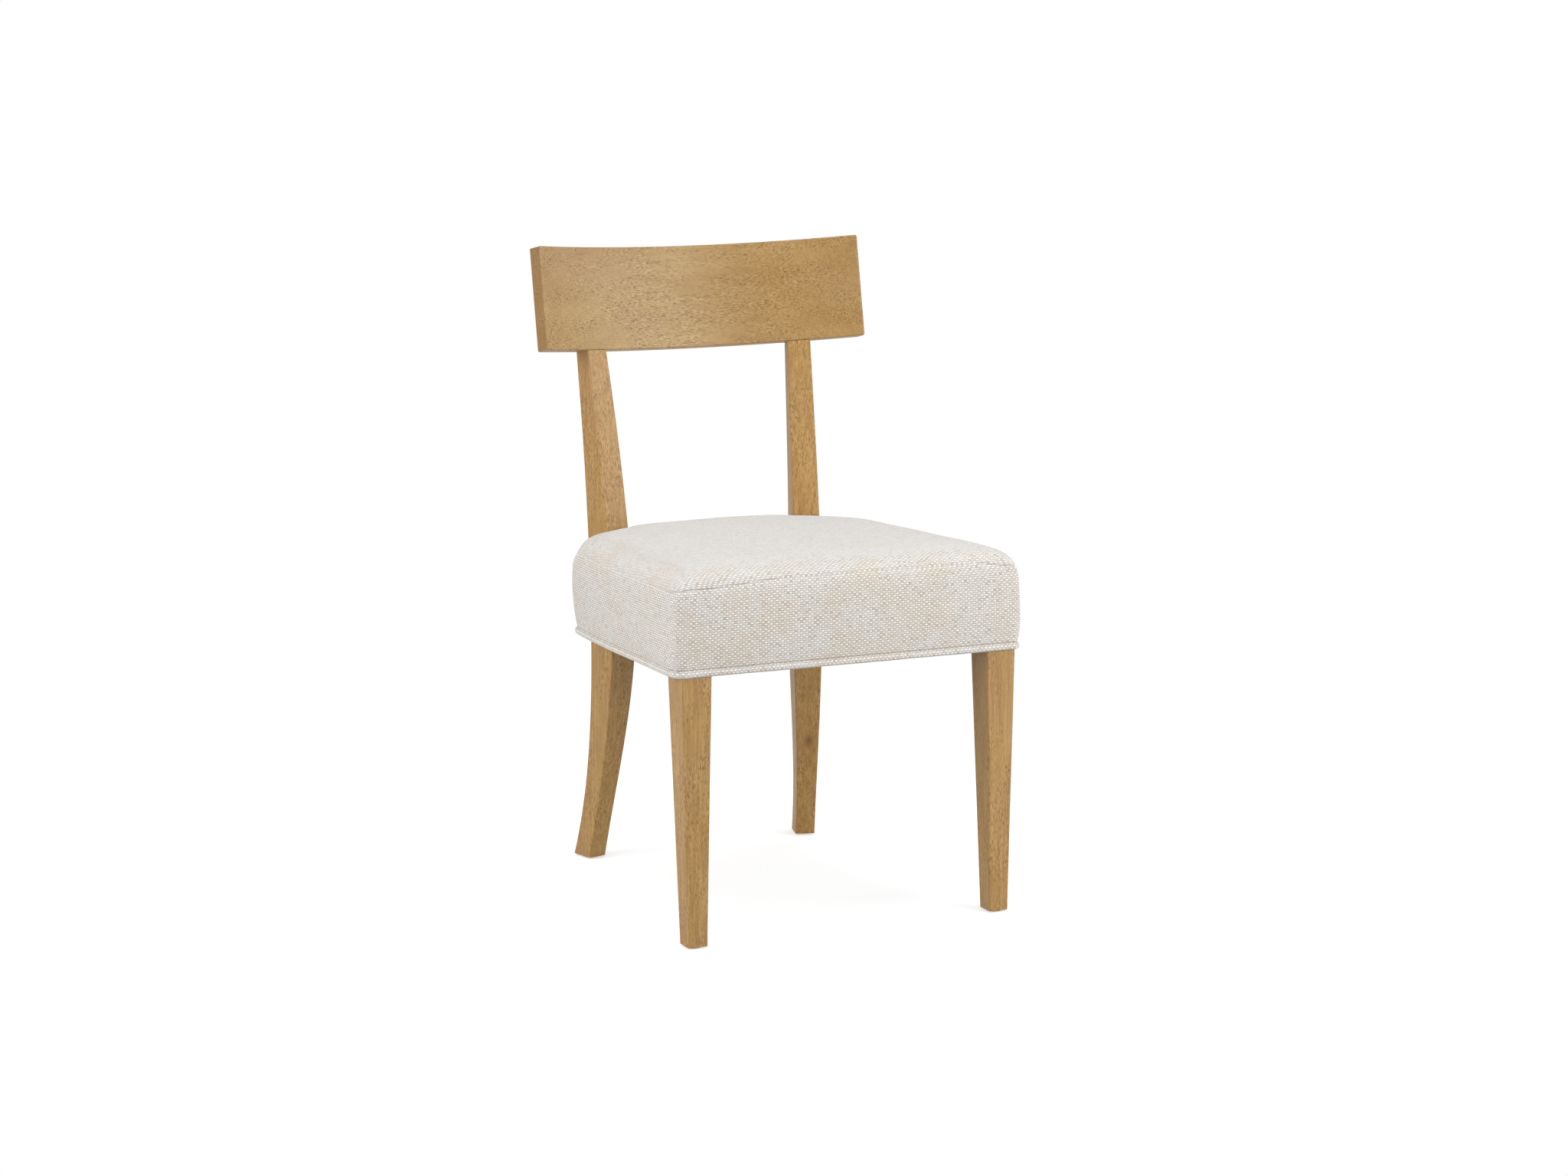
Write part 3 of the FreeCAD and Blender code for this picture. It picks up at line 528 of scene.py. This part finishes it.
# The top seam: its height, its drop at the corners and sides, its groove, and its fade round the rear
seam_height = 122.0
seam_drop_corner = 7.0
seam_drop_side = 13.0
seam_ease_left = 150.0
seam_ease_right = 45.0
seam_groove_half_width = 1.5
seam_groove_depth = 2.0
corner_seam_depth = 1.3
seam_fade_start = 25.0
seam_fade_end = 110.0
seam_depth_left = 0.05

# The cloth stands out above the front corners of the welt, and bellies a little on the sides
side_push = 5.4
side_push_reach = 150.0
front_push = 1.4
front_push_reach = 26.0
push_height = 75.0
side_swell = 1.3

# At the rear corners it is pulled down, bellies more, and has a rounder shoulder
rear_pull_depth = 3.4
rear_pull_reach = 105.0
rear_pull_start = 70.0
rear_pull_band = 62.0
rear_corner_swell = 2.2
rear_corner_round = 7.5
rear_corner_round_height = 126.0
rear_corner_round_band = 34.0

# How the cloth is tucked in round the posts, and the slow waves of its top
post_section_height = 480.0
tuck_depth = 3.5
tuck_reach = 5.0
tuck_power = 1.3
tuck_start = 440.0
tuck_band = 30.0
wave_seed = 4
wave_height = 0.35
wave_length = 110.0
wave_start = 440.0
wave_band = 40.0

# Rows of the cover's mesh: below the seam, above it, and smaller and smaller over the crown
rows_below = 26
rows_above = 22
seam_row = rows_below
rows_crowd = 1.25
crown_middle = np.array([0.0, -45.0])
crown_shares = [0.93, 0.84, 0.74, 0.63, 0.52, 0.41, 0.30, 0.20, 0.11]
crown_power = 2.2
cover_thickness = 1.6

# Heights above the floor between which a straight block stands in for the curved post
cover_cut_bands = ((345, 400), (399, 450), (449, 520))


def soft_step(value):
    """0 to 1 with soft ends."""
    value = np.clip(value, 0.0, 1.0)
    return value * value * (3 - 2 * value)


def seam_drop(outline):
    """How far the top seam lies under its height at the middle of the front, for each column."""
    drops = np.zeros(columns)
    corner_x = outline[corner_start, 0]
    for i in range(columns):
        side = i if i <= half_columns else columns - i
        ease = seam_ease_right if i <= half_columns else seam_ease_left
        if side <= corner_start:
            away = corner_x - abs(outline[i, 0])
            drops[i] = seam_drop_corner * soft_step(1 - away / ease)
        elif side < side_end:
            past = (side - corner_start) / front_corner_steps
            drops[i] = seam_drop_corner + (seam_drop_side - seam_drop_corner) * soft_step(past / 2)
        else:
            drops[i] = seam_drop_side
    return drops


def distance_round(outline, column):
    """Distance along the outline from each column to the given one or its mirror image."""
    lengths = np.linalg.norm(np.roll(outline, -1, axis=0) - outline, axis=1)
    run = np.concatenate([[0], np.cumsum(lengths)[:-1]])
    nearest = np.full(columns, lengths.sum())
    for other in (column, columns - column):
        apart = np.abs(run - run[other])
        nearest = np.minimum(nearest, np.minimum(apart, lengths.sum() - apart))
    return nearest


def corner_push(outline, height):
    """How far the cloth stands out at a front corner, near the welt, in plan."""
    away = distance_round(outline, corner_start + front_corner_steps // 2)
    low = soft_step(1 - np.asarray(height) / push_height)
    sideways = np.sign(outline[:, 0]) * side_push * soft_step(1 - away / side_push_reach)
    forward = -front_push * soft_step(1 - away / front_push_reach)
    return np.column_stack([sideways, forward]), low


def side_share():
    """1 on the sides, 0 along the front and the rear, eased over the corners, for each column."""
    share = np.zeros(columns)
    for i in range(columns):
        side = min(i, columns - i)
        rise = (side - corner_start) / front_corner_steps
        fall = (side_end + rear_corner_steps - side) / rear_corner_steps
        share[i] = soft_step(min(rise, fall))
    return share


def add_mesh(name, points, faces, maps=None, smooth=True):
    """A piece from points in metres, with the cloth's own coordinates for each face's corners."""
    mesh = bpy.data.meshes.new(name)
    mesh.from_pydata([tuple(p) for p in points], [], faces)
    if maps is not None:
        layer = mesh.uv_layers.new(name="cloth")
        layer.data.foreach_set("uv", np.array(maps, np.float32).ravel())
    for polygon in mesh.polygons:
        polygon.use_smooth = smooth
    made = bpy.data.objects.new(name, mesh)
    bpy.context.scene.collection.objects.link(made)
    return made


def apply_modifiers(piece):
    """Replace a piece's mesh by what its modifiers make of it."""
    shown = piece.evaluated_get(bpy.context.evaluated_depsgraph_get())
    mesh = bpy.data.meshes.new_from_object(shown, preserve_all_data_layers=True,
                                           depsgraph=bpy.context.evaluated_depsgraph_get())
    piece.modifiers.clear()
    piece.data = mesh


def thicken(piece, thickness_mm, offset):
    """Give a surface its thickness: all of it inwards at offset -1, half each way at 0."""
    layer = piece.modifiers.new("thickness", "SOLIDIFY")
    layer.thickness = thickness_mm * MM
    layer.offset = offset
    apply_modifiers(piece)


rear_legs = ("rear_leg_left", "rear_leg_right")
post_clearance = 0.4


def post_room(node, low, high):
    """A convex block a little larger than a rear leg between two heights, as a cutting tool."""
    block = bmesh.new()
    block.from_mesh(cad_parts[node].data)
    for height, up in ((low, False), (high, True)):
        bmesh.ops.bisect_plane(block, geom=block.verts[:] + block.edges[:] + block.faces[:],
                               plane_co=(0, 0, height), plane_no=(0, 0, 1),
                               clear_outer=up, clear_inner=not up)
    points = [v.co.copy() for v in block.verts]
    block.clear()
    for p in points:
        block.verts.new(p)
    bmesh.ops.convex_hull(block, input=block.verts)
    loose = [v for v in block.verts if not v.link_faces]
    bmesh.ops.delete(block, geom=loose, context="VERTS")
    block.normal_update()
    for v in block.verts:
        v.co += v.normal * post_clearance * MM
    mesh = bpy.data.meshes.new("post_room")
    block.to_mesh(mesh)
    block.free()
    made = bpy.data.objects.new("post_room", mesh)
    bpy.context.scene.collection.objects.link(made)
    return made


def make_room_for_posts(piece, bands_mm, touches_itself=False):
    """Cut a piece where the rear legs pass through it, in bands of height."""
    tools = [post_room(node, low * MM, high * MM) for node in rear_legs for low, high in bands_mm]
    for tool in tools:
        cut = piece.modifiers.new("post", "BOOLEAN")
        cut.operation = "DIFFERENCE"
        cut.solver = "EXACT"
        cut.use_self = touches_itself
        cut.object = tool
        apply_modifiers(piece)
    for tool in tools:
        bpy.data.objects.remove(tool)


def section_hull(node, height):
    """Corner points, in plan, of a rear leg's section at a height."""
    block = bmesh.new()
    block.from_mesh(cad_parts[node].data)
    cut = bmesh.ops.bisect_plane(block, geom=block.verts[:] + block.edges[:] + block.faces[:],
                                 plane_co=(0, 0, height), plane_no=(0, 0, 1))
    points = [v.co.copy() for v in cut["geom_cut"] if isinstance(v, bmesh.types.BMVert)]
    block.free()
    return np.array([[p.x, p.y] for p in points])


def distance_to_leg(points, outline):
    """Distance in plan from each point to a convex outline, zero inside."""
    centre = outline.mean(axis=0)
    order = np.argsort(np.arctan2(*(outline - centre).T[::-1]))
    corners = outline[order]
    best = np.full(len(points), 1e9)
    inside = np.ones(len(points), bool)
    for a, b in zip(corners, np.roll(corners, -1, axis=0)):
        run = b - a
        if run @ run < 1e-12:
            continue
        t = np.clip(((points - a) @ run) / (run @ run), 0, 1)
        best = np.minimum(best, np.linalg.norm(points - (a + t[:, None] * run), axis=1))
        inside &= (run[0] * (points[:, 1] - a[1]) - run[1] * (points[:, 0] - a[0])) >= 0
    best[inside] = 0.0
    return best


def gentle_waves(points, seed, size_mm, count=14):
    """Slow random undulation of about one unit over the given size, the same each run."""
    draw = np.random.default_rng(seed)
    total = np.zeros(len(points))
    for _ in range(count):
        direction = draw.normal(size=3)
        direction /= np.linalg.norm(direction)
        length = size_mm * draw.uniform(0.7, 1.8) * MM
        total += np.sin(points @ direction * 2 * math.pi / length + draw.uniform(0, 2 * math.pi))
    return total / math.sqrt(count)


def row_places(reach, fine, drops):
    """Each column's rows as distances along the section, even below and above the seam."""
    places = []
    for drop in drops:
        at_seam = np.interp(seam_height - drop, fine[:, 1], reach)
        above = at_seam + seam_groove_half_width
        low = np.linspace(0, at_seam - seam_groove_half_width, rows_below)
        high = above + (reach[-1] - above) * np.linspace(0, 1, rows_above + 2) ** rows_crowd
        places.append(np.concatenate([low, [at_seam], high]))
    return np.array(places)


def place_rows(base, insets, levels):
    """The rows in plan, their levels once pulled down at the rear corners, and that pull."""
    known = np.arange(math.floor(insets.min()) - 2.0, insets.max() + 1.5, 0.5)
    rings = np.array([ring(inset) for inset in known])
    flat = np.zeros(insets.shape + (2,))
    for i in range(columns):
        for axis in range(2):
            flat[i, :, axis] = np.interp(insets[i], known, rings[:, i, axis])
    push, low = corner_push(base, levels)
    flat += push[:, None, :] * low[:, :, None]
    near_rear = soft_step(1 - distance_round(base, rear_corner_middle) / rear_pull_reach)[:, None]
    belly = soft_step(1 - np.abs(levels - push_height) / push_height)
    shoulder = soft_step(1 - np.abs(levels - rear_corner_round_height) / rear_corner_round_band)
    swell = side_swell * side_share()[:, None] + near_rear * (
        rear_corner_swell * belly - rear_corner_round * shoulder)
    flat += (ring(-1.0) - base)[:, None, :] * swell[:, :, None]
    pull = rear_pull_depth * near_rear
    return flat, levels - pull * soft_step((levels - rear_pull_start) / rear_pull_band), pull[:, 0]


def sew_grooves(points, base):
    """Pull the cloth in along the top seam, and along the front corner seams below it."""
    step_in = np.gradient(points, axis=1)
    step_round = np.roll(points, -1, axis=0) - np.roll(points, 1, axis=0)
    normals = np.cross(step_round, step_in)
    normals /= np.linalg.norm(normals, axis=2)[:, :, None]
    behind = distance_round(base, side_start)
    behind[:side_start] = 0.0
    behind[columns - side_start:] = 0.0
    past = (behind - seam_fade_start) / (seam_fade_end - seam_fade_start)
    fade = 1 - (1 - seam_depth_left) * soft_step(past)
    points[:, seam_row] -= normals[:, seam_row] * (seam_groove_depth * fade)[:, None]
    for column in (side_start, columns - side_start):
        points[column, :seam_row] -= normals[column, :seam_row] * corner_seam_depth


def tuck_and_wave(points):
    """The cloth dips where it is tucked in round each post, and waves a little. Points in metres."""
    for node in rear_legs:
        away = distance_to_leg(points[:, :2], section_hull(node, post_section_height * MM))
        tuck = np.exp(-(away / (tuck_reach * MM)) ** tuck_power)
        upper = np.clip((points[:, 2] - tuck_start * MM) / (tuck_band * MM), 0, 1)
        points[:, 2] -= tuck_depth * MM * tuck * upper
    upper = np.clip((points[:, 2] - wave_start * MM) / (wave_band * MM), 0, 1)
    points[:, 2] += wave_height * MM * gentle_waves(points, wave_seed, wave_length) * upper


def make_seat_cover():
    """The sewn cover: boxing and top panel as one shell, with grooves at its seams."""
    base = ring(0.0)
    reach, fine = smooth_curve(section)
    places = row_places(reach, fine, seam_drop(base))
    insets = np.interp(places, reach, fine[:, 0])
    flat, levels, pull = place_rows(base, insets, np.interp(places, reach, fine[:, 1]))
    row_count = places.shape[1]
    points = np.dstack([flat, lift(flat[:, :, 1], levels)])

    # Inside the last row the top goes on in smaller and smaller copies of it
    edge_level = fine[-1, 1]
    top_rows = []
    for share in crown_shares:
        spot = crown_middle + (points[:, -1, :2] - crown_middle) * share
        level = edge_level + (crown_top - edge_level) * (1 - share ** crown_power) - pull * share ** 2
        top_rows.append(np.column_stack([spot, lift(spot[:, 1], level)]))
    centre = [[*crown_middle, lift(crown_middle[1], crown_top)]]
    sew_grooves(points, base)
    points = (np.vstack([points.reshape(-1, 3), *top_rows, centre]) + [0.0, shift_y, 0.0]) * MM
    tuck_and_wave(points)

    # The cloth's own coordinates: round the boxing below the seam; in plan above it, let out by the slope
    lengths = np.linalg.norm(np.roll(base, -1, axis=0) - base, axis=1)
    run = np.concatenate([[0], np.cumsum(lengths)])
    below = np.zeros((columns + 1, row_count, 2))
    below[:, :, 0] = run[:, None]
    below[:, :, 1] = np.vstack([places, places[:1]])
    let_out = (reach[-1] - places) - (fine[-1, 0] - insets)
    above = flat + (ring(-1.0) - base)[:, None, :] * let_out[:, :, None] + [0.0, shift_y]
    above = np.concatenate([above, above[:1]])

    faces = []
    maps = []
    for i in range(columns):
        own = i * row_count
        following = (i + 1) % columns * row_count
        for r in range(row_count - 1):
            faces.append((own + r, following + r, following + r + 1, own + r + 1))
            cloth = below if r < seam_row else above
            maps += [cloth[a, b] * MM for a, b in ((i, r), (i + 1, r), (i + 1, r + 1), (i, r + 1))]
    lower = [i * row_count + row_count - 1 for i in range(columns)]
    for n in range(len(crown_shares)):
        upper = [columns * (row_count + n) + i for i in range(columns)]
        for i in range(columns):
            j = (i + 1) % columns
            faces.append((lower[i], lower[j], upper[j], upper[i]))
            maps += [points[k, :2] for k in faces[-1]]
        lower = upper
    for i in range(columns):
        faces.append((lower[i], lower[(i + 1) % columns], len(points) - 1))
        maps += [points[k, :2] for k in faces[-1]]

    cover = add_mesh("seat_cover", points, faces, maps)
    thicken(cover, cover_thickness, -1.0)
    make_room_for_posts(cover, cover_cut_bands)
    return cover


# Welt: a cord covered with the seat fabric, round the lower edge

welt_radius = 4.75
welt_inset = 0.75
welt_sides = 20

# The cord's unevenness: share of its radius, length in mm for each radian, and where it starts
cord_swells = ((0.02, 21.0, 0.0), (0.015, 8.3, 1.0))
cord_swell_most = 1.03
welt_cut_bands = ((340, 380),)


def make_welts():
    """The covered cord, in one run round the front and sides and another between the rear legs."""
    path = ring(welt_inset)
    push, low = corner_push(path, welt_radius)
    path = path + push * low
    line = np.column_stack([path[:, 0], path[:, 1] + shift_y, lift(path[:, 1], welt_radius)]) * MM
    ahead = np.roll(line, -1, axis=0) - np.roll(line, 1, axis=0)
    ahead /= np.linalg.norm(ahead, axis=1)[:, None]
    side = np.cross(ahead, [0.0, 0.0, 1.0])
    side /= np.linalg.norm(side, axis=1)[:, None]
    over = np.cross(side, ahead)
    lengths = np.linalg.norm(np.roll(line, -1, axis=0) - line, axis=1)
    run = np.concatenate([[0], np.cumsum(lengths)])
    swell = 1.0
    for depth, length, start in cord_swells:
        swell = swell + depth * np.sin(run[:-1] / (length * MM) + start)
    radius = np.minimum(swell, cord_swell_most) * welt_radius * MM
    girth = 2 * math.pi * welt_radius * MM
    points = []
    faces = []
    maps = []
    for i in range(columns):
        j = (i + 1) % columns
        for k in range(welt_sides):
            m = (k + 1) % welt_sides
            angle = 2 * math.pi * k / welt_sides
            points.append(line[i] + (side[i] * math.cos(angle) + over[i] * math.sin(angle)) * radius[i])
            faces.append((i * welt_sides + k, i * welt_sides + m, j * welt_sides + m, j * welt_sides + k))
            low = girth * k / welt_sides
            high = girth * (k + 1) / welt_sides
            maps += [(run[i], low), (run[i], high), (run[i + 1], high), (run[i + 1], low)]
    welt = add_mesh("seat_welt", points, faces, maps)
    # Without this setting the short run between the rear legs is lost
    make_room_for_posts(welt, welt_cut_bands, touches_itself=True)
    return welt


# Dust cover: black cloth stretched under the frame

dust_margin = 10.4
dust_level = -0.4
dust_sag = 3.0
dust_middle = np.array([0.0, -40.0])
dust_shares = np.linspace(1.0, 0.1, 14)
dust_thickness = 0.5


def make_dust_cover():
    """The cloth, sagging a little between its staples, with its flat size and area."""
    path = ring(dust_margin)
    rows = []
    for share in dust_shares:
        spot = dust_middle + (path - dust_middle) * share
        height = lift(spot[:, 1], dust_level) - dust_sag * (1 - share ** 2) ** 2
        rows.append(np.column_stack([spot[:, 0], spot[:, 1] + shift_y, height]))
    points = np.vstack(rows) * MM
    faces = []
    for n in range(len(dust_shares) - 1):
        for i in range(columns):
            j = (i + 1) % columns
            faces.append((n * columns + i, (n + 1) * columns + i, (n + 1) * columns + j, n * columns + j))
    faces.append(tuple((len(dust_shares) - 1) * columns + i for i in range(columns)))
    cloth = add_mesh("dust_cover_cloth", points, faces)
    thicken(cloth, dust_thickness, 0.0)
    x, y = path.T
    area = 0.5 * abs(np.dot(x, np.roll(y, -1)) - np.dot(y, np.roll(x, -1)))
    size = path.max(axis=0) - path.min(axis=0)
    return cloth, size * MM, area * MM * MM


# Make the soft pieces

def dress(piece, material):
    """Give a piece one material, in every slot it has."""
    slots = piece.data.materials
    if slots:
        for i in range(len(slots)):
            slots[i] = material
    else:
        slots.append(material)


cover = make_seat_cover()
dress(cover, woven_fabric("seat_fabric_weave"))
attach(cover, "root")
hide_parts("cover_top_panel", "cover_side_band", "cover_back_band", "seat_foam",
            "wadding_front", "wadding_back")

welt = make_welts()
dress(welt, woven_fabric("welt_fabric_weave", turned=True))
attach(welt, "root")
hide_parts("welt_front", "welt_back")

dust, dust_size, dust_area = make_dust_cover()
dress(dust, nonwoven("dust_cloth_black"))
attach(dust, "root")
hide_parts("dust_cover")


# Materials of the construction's own pieces

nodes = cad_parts
wood = {
    # The crest's paler tones and its tints across the width are a painted reflection on its lacquer
    "crest_rail": stained_hardwood("wood_crest", "x", (0.3, 0.2, 0.7), (0, 330, 700), 9.0,
                                   tones=honey_paled_by_painted_sheen, streak_depth=0.0, painted_sheen=True),
    "front_leg_left": stained_hardwood("wood_front_leg_left", "z", (1.3, 0.4, 0.1), (-190, -210, 0), 7.0),
    "front_leg_right": stained_hardwood("wood_front_leg_right", "z", (2.9, 1.7, 0.9), (250, -215, 0), 7.0),
    "rear_leg_left": stained_hardwood("wood_rear_leg_left", "z", (3.1, 2.2, 1.9), (-200, 270, 0)),
    "rear_leg_right": stained_hardwood("wood_rear_leg_right", "z", (4.3, 3.5, 2.8), (110, 290, 0),
                                       knot=(154.0, 173.8, 150.0)),
    "rail_dowels": plain_wood("beech_dowel", "x", "#d6b98e", "#c19d6c", 0.8),
    "seat_deck": plain_wood("birch_plywood", "y", "#d2b183", "#bd975f", 1.6),
}
beech_across = plain_wood("beech_across", "x", "#cfae80", "#b8935f", 1.2)
beech_along = plain_wood("beech_along", "y", "#cfae80", "#b8935f", 1.2)
beech_up = plain_wood("beech_up", "z", "#c8a676", "#b08a58", 1.2)
zinc_plated_steel = two_toned("zinc_plated_steel", ("#b9bbb8", "#a3a5a1"), per_mm(0.4, 0.4, 0.4), 2.0,
                              (0.35, 0.65), 0.5, 0.02, {"Roughness": 0.38, "Metallic": 1.0})
natural_nylon = two_toned("natural_nylon", ("#dedbd2", "#d2cec4"), per_mm(0.5, 0.5, 0.5), 2.0,
                          (0.35, 0.65), 0.5, 0.05, {"Roughness": 0.45})
for node, material in wood.items():
    dress(nodes[node], material)
for node in ("front_seat_rail", "rear_seat_rail"):
    dress(nodes[node], beech_across)
for side in ("left", "right"):
    dress(nodes[f"side_seat_rail_{side}"], beech_along)
    for block in ("front_corner_brace", "rear_corner_brace", "rear_corner_ear"):
        dress(nodes[f"{block}_{side}"], beech_up)
for node in ("brace_screws", "ear_screws", "deck_screws", "dust_cover_staples", "glide_nails"):
    dress(nodes[node], zinc_plated_steel)
dress(nodes["floor_glides"], natural_nylon)


# Floor, backdrop and light

world_strength = 0.44
floor_bounce = "#c2c2c2"
floor_seen = "#e9e9e9"
floor_glow = 0.51
white_floor_from = 0.42
white_floor_to = 0.95
floor_half_width = 6.0
white = (1.0, 1.0, 1.0, 1.0)


def make_floor():
    """A pale floor that keeps a faint shadow near the feet and is pure white further out."""
    material, tree, place = new_material("pale_floor")
    camera_ray = add(tree, "ShaderNodeLightPath", output="Is Camera Ray")
    glossy_ray = camera_ray.node.outputs["Is Glossy Ray"]
    seen = add(tree, "ShaderNodeMath", [camera_ray, glossy_ray], operation="MAXIMUM")
    colour = add(tree, "ShaderNodeMix", {0: camera_ray, 6: linear(floor_bounce), 7: linear(floor_seen)}, 2,
                 data_type="RGBA")
    matt = add(tree, "ShaderNodeBsdfDiffuse", [colour])
    glow = add(tree, "ShaderNodeEmission", {"Color": white, "Strength": floor_glow})
    near = add(tree, "ShaderNodeAddShader", [matt, glow])
    far = add(tree, "ShaderNodeEmission", {"Color": white, "Strength": 1.0})
    away = add(tree, "ShaderNodeVectorMath", [place], "Value", operation="LENGTH")
    far_share = add(tree, "ShaderNodeMapRange", [away, white_floor_from, white_floor_to])
    shown = add(tree, "ShaderNodeMixShader", [far_share, near, far])
    add(tree, "ShaderNodeOutputMaterial", [add(tree, "ShaderNodeMixShader", [seen, matt, shown])])
    w = floor_half_width
    floor = add_mesh("floor", [(-w, -w, 0), (w, -w, 0), (w, w, 0), (-w, w, 0)], [(0, 1, 2, 3)], smooth=False)
    dress(floor, material)


def make_surround():
    """A white surround, seen at full strength but lighting the chair less."""
    world = bpy.data.worlds.new("white_surround")
    world.use_nodes = True
    tree = world.node_tree
    tree.nodes.clear()
    camera_ray = add(tree, "ShaderNodeLightPath", output="Is Camera Ray")
    through_ray = camera_ray.node.outputs["Is Transmission Ray"]
    seen = add(tree, "ShaderNodeMath", [camera_ray, through_ray], operation="MAXIMUM")
    strength = add(tree, "ShaderNodeMapRange", [seen, 0.0, 1.0, world_strength, 1.0])
    glow = add(tree, "ShaderNodeBackground", {"Color": white, "Strength": strength})
    add(tree, "ShaderNodeOutputWorld", [glow])
    bpy.context.scene.world = world


def area_light(name, turn, rise, distance, width, height, power, colour="#ffffff"):
    """A soft panel that faces the chair; turn is measured to the right of straight ahead of it."""
    data = bpy.data.lights.new(name, "AREA")
    data.color = linear(colour)[:3]
    data.shape = "RECTANGLE"
    data.size = width
    data.size_y = height
    data.energy = power
    made = bpy.data.objects.new(name, data)
    turn, rise = math.radians(turn), math.radians(rise)
    towards = Vector((math.sin(turn) * math.cos(rise), -math.cos(turn) * math.cos(rise), math.sin(rise)))
    made.location = Vector((0, 0, 0.5)) + towards * distance
    made.rotation_euler = (-towards).to_track_quat("-Z", "Y").to_euler()
    bpy.context.scene.collection.objects.link(made)


make_floor()
make_surround()
area_light("right_panel", 42.0, 11.0, 3.2, 3.0, 1.9, 67.0)
area_light("left_panel", -84.0, 14.0, 3.2, 2.2, 2.0, 56.0)
area_light("overhead_panel", 0.0, 84.0, 3.0, 2.4, 2.4, 50.0, "#f0f5ff")

bpy.context.scene.view_settings.view_transform = "Standard"
